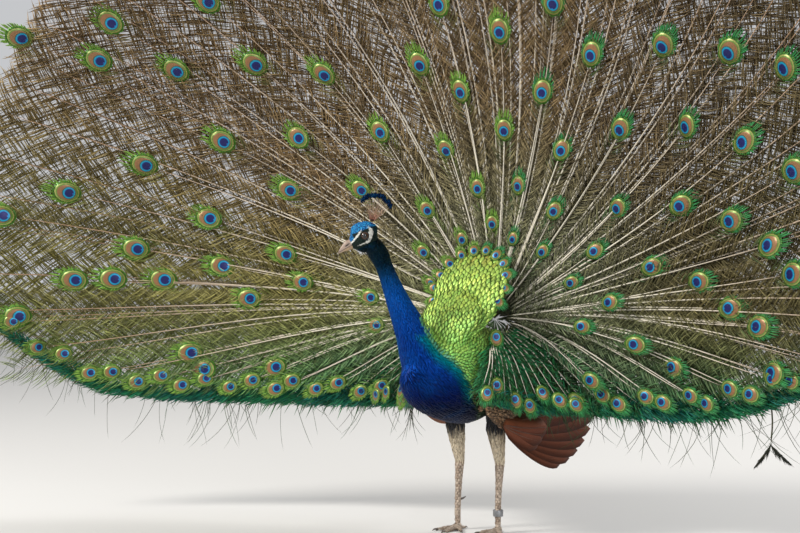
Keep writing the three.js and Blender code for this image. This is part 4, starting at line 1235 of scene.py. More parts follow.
# scale feathers of the back
scalePaint = Paint("scaleFeathers", Roughness=0.32, Metallic=0.35)
rimShare = scalePaint.attribute("rim", "Fac")
glint = scalePaint.noise(70, 2)
fine = scalePaint.noise(1500, 1)
tone = scalePaint.mix(glint.within(0.35, 0.8) * 0.35, scalePaint.attribute("tint"), (0.14, 0.42, 0.06))
tone = scalePaint.mix(rimShare.within(0.62, 0.94) * 0.88, tone, hue["scaleEdge"])
scaleLook = scalePaint.use(scalePaint.mix(fine.within(0.3, 0.8) * 0.25, tone, (0.05, 0.09, 0.01)),
        0.28 + glint * 0.25, None, fine, 0.3, 0.0004)
scaleShape = (0.66, 1.0, 0.97, 0.68)


def addRim(piece, sections):
    # how near each corner is to its feather's edge
    runs, sides = bladeShares(sections)
    rim = np.maximum(np.abs(sides) * np.where(runs > 0.3, 1, 0.4), runs ** 3)
    addValue(piece.data, "rim", np.tile(rim, len(piece.data.vertices) // len(rim)))


def spacedRoots(points, gaps, order):
    # takes the points in turn, leaving out those nearer than their gap to one already taken
    cell = gaps.max()
    cells = np.floor(points / cell).astype(int)
    taken, chosen = {}, []
    around = [(i, j, k) for i in (-1, 0, 1) for j in (-1, 0, 1) for k in (-1, 0, 1)]
    for index in order:
        x, y, z = cells[index]
        here = points[index]
        near = [other for i, j, k in around for other in taken.get((x + i, y + j, z + k), ())]
        if near and ((points[near] - here) ** 2).sum(1).min() < gaps[index] ** 2:
            continue
        taken.setdefault((x, y, z), []).append(index)
        chosen.append(index)
    return np.array(chosen)


scaleSize = {"gap": (0.0058, 0.0118), "length": 2.3, "half": 0.70, "thick": 0.11}
spot = unplace(skinCorners)
forward, up = spot[:, 1], spot[:, 2]
border = borderForward(np.minimum(up, 478))
isScaly = (forward < border + 2) & (up > 318) & ~isHead & ~isWing & (~isFluff | (forward > -100))
isScaly &= (inside(skinCorners, "neck") > 1.12) | (up < 500)
isScaly &= (forward > -30) | (up > 380)
isRest = ~isScaly & ((forward < border + 2) & (up > 322)
        | isFluff) & ~isHead & ~isWing & (inside(skinCorners, "neck") > 1.15)
isRest &= (inside(skinCorners, "legLeft", "legRight") > 1) | (forward < -90)
points, places = skinCorners[isScaly], skinPlaces[isScaly]
forward, up, border = forward[isScaly], up[isScaly], border[isScaly]
gaps = np.interp(up, (400, 640), scaleSize["gap"])
order = spacedRoots(points, gaps, np.argsort(up + rng.uniform(-1.5, 1.5, len(up))))
forward, up, border, gaps, places = forward[order], up[order], border[order], gaps[order], places[order]
spots, normals = surfaceOf(points[order])
lie, _ = bodyLie(spots)
lie = lie * (1 - smooth(up, 400, 470))[:, None] + np.array([0, 0.4, 1.0]) * smooth(up, 380, 450)[:, None]
fresh = blend(hue["limeDeep"], hue["lime"], smooth(up, 380, 560) * 0.6 + 0.5 * rng.random(len(up)) - 0.1)
isLime = np.maximum(smooth(forward, 20, 110) * smooth(up, 330, 380), smooth(up, 440, 500)) * smooth(-normals[:, 1],
        -0.5, 0.0)
# painted light: the scales brightened, the lower ones most, to offset the shade they lie in
fresh = fresh * np.array([0.93, 1.08, 1.5]) * np.interp(up, (400, 480, 620), (1.9, 1.7, 1.35))[:, None]
colour = shaded(blend(hue["bronze"], fresh, isLime), 0.22)
colour = blend(colour, (0.46, 0.24, 0.06), (rng.random(len(up)) < 0.5) * smooth(up, 600, 650) * 0.7)
colour = blend(colour, hue["turquoise"], smooth(forward, border - 16, border) * 0.8)
points, faces, count = layBlades(spots, normals, lie + rng.normal(0, 0.05, lie.shape), gaps * scaleSize["length"],
        gaps * scaleSize["half"], gaps * scaleSize["thick"], 4, rise=0.10, curl=0.02, shape=scaleShape, sunk=0.001)
addRim(coatPiece("backScales", "scale_gold", [(points, faces, count, colour, places, 4)], scaleLook, "shield"), 4)

# wings
wing = {"covertStep": 0.0072, "root": (108, 130, 268), "short": 292, "long": 440, "upper": -3, "lower": 23.5,
        "count": 7, "splay": math.tan(math.radians(7)), "half": 0.030, "secondaries": [(6, 206), (12, 188),
        (18, 170)], "lift": {1: 0, -1: 60}, "turn": {1: 0, -1: -8}}
covertPaint = Paint("barredCoverts", Roughness=0.6, Specular_IOR_Level=0.2)
fine = covertPaint.noise(700, 2)
bars = covertPaint.noise(150, 1, stretch=(1, 1, 2.4))
tone = covertPaint.mix(bars.within(0.44, 0.54) * 0.75, covertPaint.attribute("tint"), hue["barDark"])
covertLook = covertPaint.use(covertPaint.mix(fine.within(0.3, 0.8) * 0.3, tone, (0.05, 0.03, 0.02)),
        0.5 + fine * 0.25, None, fine, 0.3, 0.0005)
vanePaint = Paint("flightFeathers", Roughness=0.5, Specular_IOR_Level=0.15)
vaneMap = vanePaint.node("ShaderNodeUVMap", {"uv_map": "vane"})
split = vanePaint.node("ShaderNodeSeparateXYZ", None, vaneMap)
acrossVane, alongVane = split, Sock(vanePaint, split.socket.node.outputs[1])
slanted = alongVane * 420 - ((acrossVane - 0.5) ** 2) ** 0.5 * 60
barbLines = slanted.math("SINE") * 0.5 + 0.5
patchy = vanePaint.noise(26, 3)
tone = vanePaint.mix(patchy.within(0.4, 0.75) * 0.35, vanePaint.attribute("tint"), hue["chestnutDark"])
tone = vanePaint.mix(barbLines * 0.2, tone, (0.06, 0.02, 0.012))
vaneLook = vanePaint.use(tone, 0.42 + barbLines * 0.2, None, barbLines, 0.35, 0.0005)


def addVane(piece, sections):
    runs, sides = bladeShares(sections)
    layer = piece.data.uv_layers.new(name="vane")
    flat = np.empty(len(piece.data.loops), np.int32)
    piece.data.loops.foreach_get("vertex_index", flat)
    local = np.stack([sides / 2 + 0.5, runs], -1)[flat % len(runs)]
    layer.data.foreach_set("uv", local.astype(np.float32).ravel())


for side, sideName in ((1, "left"), (-1, "right")):
    limb = limbs["covertsLeft" if side > 0 else "covertsRight"]
    roots, level, angle = seeds(limb, wing["covertStep"], [(limbs["trunk"], 0.97)], (0.03, 0.96), 0.25)
    spots, normals = surfaceOf(roots)
    count = len(roots)
    lie = np.repeat(unit(np.array([[side * 0.02, 1.0, -0.18]])), count, 0) + rng.normal(0, 0.08, (count, 3))
    colour = blend(hue["buffWarm"], (0.42, 0.30, 0.19), rng.random(count) * 0.6)
    colour = shaded(blend(colour, hue["chestnut"], smooth(-unplace(spots)[:, 2], -290, -250) * 0.6), 0.2)
    bar = np.array([0.4, 1.1, 1.1, 1.1, 0.35, 0.35, 0.35, 1.15, 1.15, 1.15, 0.4, 0.4, 0.4, 1.0])
    points, faces, size = layBlades(spots, normals, lie, rng.uniform(0.017, 0.023, count), 0.0050, 0.0009, 4,
            rise=0.07, curl=0.02, shape=(0.7, 1, 0.98, 0.75))
    coatPiece(f"wingCoverts_{sideName}", "barred_buff", [(points, faces, size, colour[:, None] * bar[None, :, None],
            rootPlaces(level, angle), 4)], covertLook, f"wing_coverts_{sideName}")
    part = np.linspace(0, 1, wing["count"])
    bearing = wing["upper"] + (wing["lower"] - wing["upper"]) * part
    length = wing["long"] - (wing["long"] - wing["short"]) * part**1.5
    bearing = np.radians(wing["turn"][side] + np.append(bearing, [turn for turn, _ in wing["secondaries"]]))
    length = np.append(length, [far for _, far in wing["secondaries"]])
    outer = np.append(np.zeros(wing["count"]), (4.5, 5.5, 6.5))
    part = np.append(part, (0.2, 0.5, 0.8))
    feathersHere = len(part)
    x, forward, up = wing["root"]
    lines = []
    for s in np.linspace(0, 1, 14):
        out = length * (0.1 + 0.885 * s)
        sag = 5 * math.sin(s * math.pi)
        back, down = np.cos(bearing) * out, np.sin(bearing) * out + sag
        lines.append(np.stack([side * (x + 1.2 + outer + wing["splay"] * back + 1.6 * (part - 0.5) + 2.5 * s * s),
                forward - back, up + wing["lift"][side] - down], -1))
    line = place(np.stack(lines, 1))
    ups = np.repeat([[side, -0.1, 0.25]], feathersHere, 0) + np.stack([0 * part, 0 * part, 0.25 * (part - 0.5)], -1)
    shape = np.array([0.55, 0.68, 0.8, 0.88, 0.94, 0.98, 1, 1, 0.97, 0.9, 0.78, 0.55])
    points, faces, size = blades(line, unit(ups), wing["half"] * shape[None], 0.0011)
    runs, sides = bladeShares(12)
    colour = blend(hue["chestnut"], hue["chestnutPale"], part * 0.2)[:, None]
    # painted light on each vane: one edge paler as a painted highlight, the other half darker as painted shade
    # between the overlapping feathers
    highlightEdge = np.where(sides < 0, -0.9 * sides, 0.0)[None]
    colour = blend(colour, hue["chestnutPale"], highlightEdge) * np.where(sides > 0, 0.45, 1)[None, :, None]
    places = np.stack([0.06 + np.arange(feathersHere) * 0.075, np.full(feathersHere, 0.3)], -1)
    stretch = (np.stack([sides * 0.035, runs * 0.6], -1)[None] + places[:, None]).reshape(-1, 2)
    quill = blades(line[:, :, :] + unit(ups)[:, None] * 0.0011, unit(ups), 0.0016 * np.linspace(1, 0.35, 12)[None],
            0.0014)
    vanes = meshFrom(f"wingPrimaries_{sideName}", points, faces,
            np.broadcast_to(colour, (feathersHere, size, 3)).reshape(-1, 3), stretch, material=vaneLook)
    addVane(vanes, 12)
    finishPiece(vanes, "chestnut", f"wing_primaries_{sideName}")
    coatPiece(f"primaryQuills_{sideName}", "chestnut", [(quill[0], quill[1], quill[2],
            np.repeat([(0.10, 0.045, 0.03)], feathersHere, 0), places, 12)], quillLook)

# the true tail that props the train, and the down below it
rectrices = {"count": 19, "spread": math.radians(80), "reach": 0.462, "half": 0.033, "over": -0.0165}
share = np.linspace(-1, 1, rectrices["count"])
lines, ups = [], []
for k, turn in enumerate(share * rectrices["spread"]):
    runs = np.linspace(0.06, rectrices["reach"] * (1 - 0.06 * share[k] ** 2), 12)
    lines.append(fanPlace(np.full(12, turn), runs, rectrices["over"] - 0.0018 * (k % 2)))
    ups.append(-fanFront(np.full(12, turn), runs)[1:-1])
shape = np.array([0.34, 0.46, 0.58, 0.7, 0.8, 0.9, 0.97, 1, 0.97, 0.8])
points, faces, size = blades(np.array(lines), np.array(ups), rectrices["half"] * shape[None], 0.001)
runs, sides = bladeShares(10)
tone = np.repeat([(0.13, 0.095, 0.07)], len(share), 0)[:, None] * (1 - 0.3 * (sides == 0))[None, :, None]
places = np.stack([0.08 + np.arange(len(share)) * 0.045, np.full(len(share), 0.3)], -1)
stretch = (np.stack([sides * 0.02, runs * 0.6], -1)[None] + places[:, None]).reshape(-1, 2)
tailPaint = Paint("tailFeathers", Roughness=0.6)
tailMap = tailPaint.node("ShaderNodeUVMap", {"uv_map": "vane"})
split = tailPaint.node("ShaderNodeSeparateXYZ", None, tailMap)
lines = ((Sock(tailPaint, split.socket.node.outputs[1]) * 170) - ((split - 0.5) ** 2) ** 0.5
        * 30).math("SINE") * 0.5 + 0.5
freckle = tailPaint.noise(90, 2)
tone2 = tailPaint.mix(freckle.within(0.5, 0.7) * 0.35, tailPaint.attribute("tint"), (0.05, 0.035, 0.028))
tone2 = tailPaint.mix(1 - (((split - 0.5) ** 2) ** 0.5).within(0.03, 0.06), tone2, (0.30, 0.23, 0.16))  # the shaft
tailLook = tailPaint.use(tailPaint.mix(lines * 0.3, tone2, (0.04, 0.03, 0.025)), 0.5 + lines * 0.2, None, lines,
        0.35, 0.0005)
tailPiece = meshFrom("tailFeathers", points, faces, tone.reshape(-1, 3), stretch, material=tailLook)
addVane(tailPiece, 10)
finishPiece(tailPiece, "tail_brown", "tail")

downPaint = Paint("down", Roughness=0.9)
fine = downPaint.noise(500, 2)
downLook = downPaint.use(downPaint.mix(fine.within(0.3, 0.75) * 0.4, downPaint.attribute("tint"),
        (0.12, 0.10, 0.085)), 0.8 + fine * 0.15, None, fine, 0.4, 0.0008)
lower = {"gap": 0.0082, "half": 0.0042, "thick": 0.0012, "tufts": 1700}
points, places = skinCorners[isRest], skinPlaces[isRest]
order = spacedRoots(points, np.full(len(points), lower["gap"]), rng.permutation(len(points)))
spots, normals = surfaceOf(points[order])
isPale = (normals[:, 1] > 0.0) & (unplace(spots)[:, 1] < -120) & (unplace(spots)[:, 2] < 420)
lie = np.where(isPale[:, None], (0, 0.25, -1.0), unit(spots - place((0, -20, 470)))) + rng.normal(0, 0.18,
        spots.shape)
mixed = rng.random(len(spots))
# the rump feathers dark bronze-green: their own colour, and painted shade at the base of the train
colour = np.where(isPale[:, None], blend(hue["down"], (0.5, 0.47, 0.42), mixed),
        blend(hue["rump"], hue["copper"], mixed * 0.6))
colour = shaded(colour, 0.3)
length = rng.uniform(0.024, 0.038, len(spots))


def lowerFeathers(chosen):
    points, faces, size = layBlades(spots[chosen], normals[chosen], lie[chosen], length[chosen], lower["half"],
            lower["thick"], 3, rise=0.32, curl=0.16)
    return points, faces, size, colour[chosen], places[order][chosen] * np.array([1, 0.6]), 3


coatPiece("rumpFeathers", "train_green", [lowerFeathers(~isPale)], barbLook)
parts = [lowerFeathers(isPale)]
count = lower["tufts"]  # more of it round the roots of the tail feathers
runs = rng.uniform(0.03, 0.17, count)
turns = np.radians(rng.uniform(-104, 104, count)) * np.interp(runs, (0.03, 0.09), (0.55, 1))
line = np.stack([fanPlace(turns + 0.2 * s * rng.normal(0, 1, count), runs + 0.045 * s,
        -0.021 - 0.016 * math.sin(s * 2.4)) for s in (0, 0.33, 0.66, 1)], 1)
points, faces, size = blades(line, -fanFront(turns, runs) + rng.normal(0, 0.3, (count, 3)), 0.0034, 0.0012)
tint = shaded(blend(hue["down"], (0.5, 0.47, 0.42), rng.random(count)), 0.25)
parts.append((points, faces, size, tint, np.stack([0.5 + turns / 4.2, 0.65 + runs * 1.8], -1), 2))
coatPiece("tailDown", "grey_down", parts, downLook, "under_tail")

legParts = []
for side, legName in ((1, "legLeft"), (-1, "legRight")):
    roots, level, angle = seeds(limbs[legName], lambda share: np.interp(share, (0, 0.55), (0.0075, 0.004)),
            [(limbs["trunk"], 0.98), (limbs["covertsLeft"], 1.0), (limbs["covertsRight"], 1.0),
            (limbs["fluff"], 1.0)], (0.02, 0.62), 0.45)
    keep = roots[:, 2] > 0.168
    spots, normals = surfaceOf(roots[keep])
    up = spots[:, 2]
    lie = np.repeat([[0, 0.12, -1.0]], len(spots), 0) + rng.normal(0, 0.1, (len(spots), 3))
    size = np.interp(up, (0.17, 0.28), (0.004, 0.0075))
    colour = blend(hue["buff"], hue["bellyBlack"], smooth(up + rng.normal(0, 0.004, len(up)), 0.232, 0.262))
    points, faces, count = layBlades(spots, normals, lie, size * rng.uniform(2.8, 4.0, len(size)), size * 0.40,
            size * 0.16, 3, rise=0.34, curl=0.26)
    low = 0.02 if side > 0 else 0.52
    legParts.append((points, faces, count, shaded(colour, 0.2),
            rootPlaces(level, angle, (0.02, low), (0.97, low + 0.45))[keep], 3))
coatPiece("legFeathers", "buff_down", legParts, downLook)


# head
facePaint = Paint("faceFeathers", Roughness=0.5, Specular_IOR_Level=0.25)
fine = facePaint.noise(900, 2)
faceLook = facePaint.use(facePaint.mix(fine.within(0.35, 0.8) * 0.4, facePaint.attribute("tint"),
        (0.004, 0.008, 0.012)), 0.4 + fine * 0.3, None, fine, 0.3, 0.0003)
face = {"gap": 0.00165, "thick": 0.0003, "clearOfEye": 10.2, "longest": 0.0036, "whiteLength": 0.0028}
eyeForward, eyeOut, eyeUp = headShape["eye"]
roots, level, angle = seeds(limbs["head"], face["gap"], [(limbs["neck"], 0.9)], (0.05, 0.93), 0.45)
spots, normals = surfaceOf(roots)
local = headSpot(spots)
away = np.hypot(local[:, 0] - eyeForward, local[:, 2] - eyeUp)
keep = ((away > face["clearOfEye"]) | (np.abs(local[:, 1]) < 6)) & (local[:, 0] < 33)
spots, normals, local, level, angle = spots[keep], normals[keep], local[keep], level[keep], angle[keep]
colour, white = headColour(local)
isCrown = (local[:, 2] > 12 + 0.1 * local[:, 0]) | ((local[:, 0] > 22) & (local[:, 2] > 0))
chance = rng.random(len(spots))
colour = blend(colour, (0.05, 0.52, 0.90), ((chance < 0.36) & isCrown) * 0.75)
colour = blend(colour, hue["blueDeep"], ((chance > 0.70) & isCrown) * 0.9)
lie = np.repeat([-headForward], len(spots), 0) - 0.35 * headUp * smooth(-local[:, 2], -5, 20)[:, None]
lie = unit(lie + rng.normal(0, 0.1, lie.shape))
length = np.where(white, face["whiteLength"], face["longest"]) * np.interp(local[:, 0], (-35, 20, 33),
        (1.5, 1, 0.6)) * rng.uniform(0.8, 1.2, len(spots))
isNape = local[:, 2] < -20
lie = unit(blend(lie, bodyLie(spots)[0], smooth(-local[:, 2], 8, 26)))
half = np.where(white, 0.0009, 0.0010) * (1 + isNape)
for name, chosen, material in (("headFeathers", ~isNape, faceLook), ("napeFeathers", isNape, blueLook)):
    points, faces, count = layBlades(spots[chosen], normals[chosen], lie[chosen],
            (length * (1 + 1.6 * isNape))[chosen], half[chosen], face["thick"], 2, rise=0.2, curl=0.1, shape=(0.9,
            0.85), sunk=0.0003)
    coatPiece(name, "crown_blue", [(points, faces, count, shaded(colour, 0.25)[chosen],
            rootPlaces(level, angle)[chosen], 2)], material)


def formPiece(name, form, material, slotName, *nodes, levels=0):
    bmesh.ops.recalc_face_normals(form, faces=form.faces)
    mesh = bpy.data.meshes.new(name)
    form.to_mesh(mesh)
    form.free()
    mesh.materials.append(material)
    mesh.polygons.foreach_set("use_smooth", np.full(len(mesh.polygons), True))
    piece = bpy.data.objects.new(name, mesh)
    bpy.context.collection.objects.link(piece)
    if levels:
        finer = piece.modifiers.new("finer", "SUBSURF")
        finer.levels = finer.render_levels = levels
    return finishPiece(piece, slotName, *nodes)


def formOf(points, triangles):
    mesh = bpy.data.meshes.new("draft")
    mesh.from_pydata([tuple(p) for p in points], [], [tuple(int(k) for k in t) for t in triangles])
    form = bmesh.new()
    form.from_mesh(mesh)
    bpy.data.meshes.remove(mesh)
    return form


eyeBall = {"radius": 0.0094, "bulge": 0.0006, "lidRing": 0.0088, "lidThick": 0.0012, "lidOut": 0.0043}
eyeGloss = Paint("wetEye", Roughness=0.06, Coat_Weight=1.0, Coat_Roughness=0.02, IOR=1.4)
off = eyeGloss.attribute("fromPupil", "Fac")
rays = eyeGloss.noise(700, 2)
tone = eyeGloss.mix(off.within(0.50, 0.58), (0.002, 0.002, 0.002), (0.075, 0.030, 0.012))
tone = eyeGloss.mix((off + (rays - 0.5) * 0.08).within(0.74, 0.86), tone, (0.018, 0.008, 0.004))
eyeLook = eyeGloss.use(tone, 0.05 + rays * 0.04)
lidPaint = Paint("lidSkin", Roughness=0.5)
fine = lidPaint.noise(1500, 2)
lidLook = lidPaint.use(lidPaint.mix(fine, (0.012, 0.012, 0.013), (0.035, 0.03, 0.03)), 0.4 + fine * 0.3, None,
        fine, 0.5, 0.0003)
for side, sideName in ((1, "left"), (-1, "right")):
    gaze = unit(headLeft * side + headForward * 0.12)
    centre = headPlace((eyeForward, side * (eyeOut - 0.4), eyeUp))
    form = bmesh.new()
    bmesh.ops.create_uvsphere(form, u_segments=36, v_segments=24, radius=eyeBall["radius"])
    fromPupil = []
    for corner in form.verts:
        lead = np.array(corner.co.normalized())
        facing = lead @ gaze
        corner.co += Vector(gaze) * float(smooth(facing, 0.6, 1.0)) * eyeBall["bulge"]
        fromPupil.append(math.acos(max(-1, min(1, facing))) / 1.2)
    bmesh.ops.translate(form, verts=form.verts, vec=Vector(centre))
    eye = formPiece(f"eye{sideName.title()}", form, eyeLook, "dark_iris", f"eye_{sideName}")
    addValue(eye.data, "fromPupil", fromPupil)
    form = bmesh.new()
    circle = bmesh.ops.create_circle(form, cap_ends=False, segments=12, radius=eyeBall["lidThick"])["verts"]
    bmesh.ops.translate(form, verts=circle, vec=(eyeBall["lidRing"], 0, 0))
    bmesh.ops.rotate(form, verts=circle, cent=(0, 0, 0), matrix=Matrix.Rotation(math.pi / 2, 3, "X"))
    bmesh.ops.spin(form, geom=form.verts[:] + form.edges[:], cent=(0, 0, 0), axis=(0, 0, 1), dvec=(0, 0, 0),
            angle=2 * math.pi, steps=40, use_merge=True, use_duplicate=False)
    bmesh.ops.remove_doubles(form, verts=form.verts, dist=1e-6)
    lidTurn = Vector((0, 0, 1)).rotation_difference(Vector(gaze)).to_matrix().to_4x4()
    lidPlace = centre + gaze * eyeBall["lidOut"]
    bmesh.ops.transform(form, matrix=Matrix.Translation(Vector(lidPlace)) @ lidTurn, verts=form.verts)
    for corner in form.verts:  # a little longer than high, the upper lid a little lower over the eye
        gone = np.array(corner.co) - lidPlace
        ahead, above = gone @ headForward, gone @ headUp
        corner.co += Vector(headForward * ahead * 0.06 - headUp * above * (0.14 if above > 0 else 0.06))
    formPiece(f"lids{sideName.title()}", form, lidLook, "crown_blue")

bill = {"stations": [(20, 0, -4, 8, 12.5), (37, 0, -3.5, 8, 12.5), (47, 0, -4.2, 5.8, 8.8), (58, 0, -6.2, 3.4, 5.2),
        (67, 0, -9.2, 1.4, 2.2)], "gape": -7.8, "nostril": (40, 6.4, -2.0)}
billPaint = Paint("billHorn", Roughness=0.4)
grain = billPaint.noise(260, 3, stretch=(1, 1, 1))
wear = billPaint.noise(60, 2)
tone = billPaint.mix(wear.within(0.35, 0.8) * 0.5, billPaint.attribute("tint"), (0.17, 0.12, 0.10))
billLook = billPaint.use(billPaint.mix(grain.within(0.5, 0.8) * 0.25, tone, (0.5, 0.42, 0.34)),
        0.32 + grain * 0.25, None, grain, 0.3, 0.0004)
points, faces = Limb(bill["stations"], 0.15, 0.5, headPlace, headLeft).shell(56, 64)
for name, part, node in (("billUpper", 1, "bill_upper"), ("billLower", -1, "bill_lower")):
    form = formOf(points, faces)
    bmesh.ops.bisect_plane(form, geom=form.verts[:] + form.edges[:] + form.faces[:],
            plane_co=Vector(headPlace((50, 0, bill["gape"]))),
            plane_no=Vector(headUp), clear_inner=part > 0, clear_outer=part < 0)
    bmesh.ops.holes_fill(form, edges=[e for e in form.edges if e.is_boundary], sides=0)
    bmesh.ops.triangulate(form, faces=[f for f in form.faces if len(f.verts) > 4])
    tints = []
    for corner in form.verts:
        ahead, out, above = headSpot(np.array(corner.co))
        if part > 0:
            hole = math.hypot((ahead - bill["nostril"][0]) / 6.0,
                    (above - bill["nostril"][2] + 0.14 * (ahead - 40)) / 1.9)
            dip = float(smooth(1.25 - hole, 0, 0.6)) * 1.5 if abs(out) > 3 else 0.0
            corner.co = Vector(headPlace((ahead, out - math.copysign(dip, out), above)))
            base = blend(hue["horn"], (0.26, 0.20, 0.17), smooth(ahead, 50, 66))
            base = blend(base, (0.03, 0.02, 0.015), smooth(bill["gape"] + 1.3 - above, 0, 0.9) * 0.9)
            # painted shade: the nostril's hollow darkened as deep as it dips
            tints.append(blend(base, (0.02, 0.015, 0.012), min(1.0, dip)))
        else:
            corner.co += Vector(headUp) * -0.00025
            tints.append(blend((0.52, 0.36, 0.20), hue["horn"], smooth(ahead, 44, 62)))
    piece = formPiece(name, form, billLook, "bill_horn", node)
    addTint(piece.data, np.array(tints))

# crest
crest = {"count": 21, "length": 68, "from": 9, "to": 80, "root": (-32, 0, 18.0), "spread": 6.0, "barbs": 19}
shafts, webs, webTints, webRoots = [], [], [], []
for k in range(crest["count"]):
    part = k / (crest["count"] - 1)
    lean = math.radians(crest["from"] + (crest["to"] - crest["from"]) * part + rng.normal(0, 1.2))
    length = crest["length"] * (1 - 0.14 * (2 * part - 1) ** 2) * rng.uniform(0.95, 1.02)
    aside = crest["spread"] * ((k * 7) % 5 - 2) / 2 * rng.uniform(0.8, 1.1)
    lead = np.array([-math.sin(lean), 0, math.cos(lean)])
    back = np.array([-math.cos(lean), 0, -math.sin(lean)])
    start = np.array(crest["root"]) + np.array([2.5 * (0.5 - part), aside * 0.2, 0])
    run = np.linspace(0, 1, 7)[:, None]
    spots = start + lead * length * 0.93 * run + back * 2.0 * np.sin(run
            * math.pi) + np.array([0, aside, 0]) * run**1.3
    shafts.append(headPlace(spots))
    for j in range(crest["barbs"]):
        share = (j + 0.5) / crest["barbs"]
        fanned = math.radians((share - 0.5) * 128)
        step = lead * math.cos(fanned) + back * math.sin(fanned)
        base = spots[-1] - lead * (1 - abs(2 * share - 1)) * 1.0 - lead * 5.5 * abs(2 * share - 1)
        reach = 9.5 * (1 - 0.2 * abs(2 * share - 1)) * rng.uniform(0.9, 1.06)
        webs.append(headPlace(np.array([base, base + step * reach * 0.5,
                base + step * reach + np.array([0, rng.normal(0, 0.3), 0])])))
        webTints.append(blend((0.002, 0.006, 0.03), (0.002, 0.05, 0.12), rng.random() ** 2))
        webRoots.append((part * 0.95 + 0.01, 0.5 + share * 0.4))
shafts, webs = np.array(shafts), np.array(webs)
sideways = np.repeat([headLeft], len(shafts), 0)
shaftParts = blades(shafts, sideways, 0.0005, 0.0004)
tint = blend((0.40, 0.14, 0.08), (0.62, 0.54, 0.40), bladeShares(5)[0])
webParts = blades(webs, np.repeat([headLeft], len(webs), 0), 0.00085, 0.0003)
coatPiece("crestFeathers", "crest_blue", [
    (shaftParts[0], shaftParts[1], shaftParts[2], np.repeat(tint[None], len(shafts), 0),
    np.stack([np.linspace(0.01, 0.95, len(shafts)), np.full(len(shafts), 0.2)], -1), 5),
    (webParts[0], webParts[1], webParts[2], np.array(webTints), np.array(webRoots), 1)], blueLook, "crest")

# shanks and feet
scutePaint = Paint("legScutes", Roughness=0.5)
fine = scutePaint.noise(350, 3)
dirt = scutePaint.noise(55, 2)
tone = scutePaint.mix(dirt.within(0.4, 0.75) * 0.5, scutePaint.attribute("tint"), hue["scuteBrown"])
scuteLook = scutePaint.use(scutePaint.mix(fine.within(0.45, 0.8) * 0.35, tone, (0.62, 0.52, 0.42)),
        0.4 + fine * 0.3, None, fine, 0.4, 0.0004)
# gap, length, half width
plates = {"front": (0.0078, 0.0105, 0.0049), "back": (0.0046, 0.0058, 0.0026), "toe": (0.0046, 0.0062, 0.0030)}
parts = []
scuteShade = np.interp(bladeShares(4)[0], (0, 0.5, 0.8, 1), (0.8, 1.05, 0.8, 0.45))
for number, name in enumerate(("legLeft", "legRight")):
    for isFront in (True, False):  # the front of the shank carries the broad plates
        gap, length, half = plates["front" if isFront else "back"]
        roots, level, angle = seeds(limbs[name], gap, (), (0.5, 0.975), 0.05)
        spots, normals = surfaceOf(roots)
        facing = -normals[:, 1]
        keep = (spots[:, 2] < 0.166) & (spots[:, 2] > 0.014) & ((facing > 0.35) if isFront else (facing <= 0.42))
        spots, normals = spots[keep], normals[keep]
        colour = shaded(np.repeat([hue["scute"]], len(spots), 0), 0.15)
        colour = blend(colour, hue["scuteBrown"], (rng.random(len(spots)) < 0.25) * 0.5)
        points, faces, count = layBlades(spots, normals, np.repeat([[0, 0.02, -1.0]], len(spots), 0), length, half,
                0.0007, 4, rise=0.06, curl=0.02, shape=(0.85, 1, 1, 0.8), sunk=0.0003)
        low = 0.02 + 0.25 * number + (0.0 if isFront else 0.5)
        parts.append((points, faces, count, colour[:, None] * scuteShade[None, :, None],
                rootPlaces(level, angle, (0.02, low), (0.97, low + 0.22))[keep], 4))
coatPiece("shankScutes", "shank_skin", parts, scuteLook)
parts = []
for number, limb in enumerate(toeLimbs):
    gap, length, half = plates["toe"]
    roots, level, angle = seeds(limb, gap, [(limbs["legLeft"], 0.95), (limbs["legRight"], 0.95)], (0.12, 0.93), 0.08)
    spots, normals = surfaceOf(roots)
    keep = normals[:, 2] > -0.25
    lead = unit(limb.centres[-1] - limb.centres[0])
    spots, normals = spots[keep], normals[keep]
    colour = shaded(np.repeat([hue["scute"]], len(spots), 0) * 0.85, 0.2)
    points, faces, count = layBlades(spots, normals, np.repeat([lead], len(spots), 0), length, half, 0.0006, 4,
            rise=0.07, curl=0.03, shape=(0.85, 1, 1, 0.8), sunk=0.0003)
    points[:, 2] = np.maximum(points[:, 2], 0.0003)
    low = 0.02 + 0.12 * number
    parts.append((points, faces, count, colour[:, None] * scuteShade[None, :, None],
            rootPlaces(level, angle, (0.02, low), (0.97, low + 0.1))[keep], 4))
coatPiece("toeScutes", "shank_skin", parts, scuteLook)

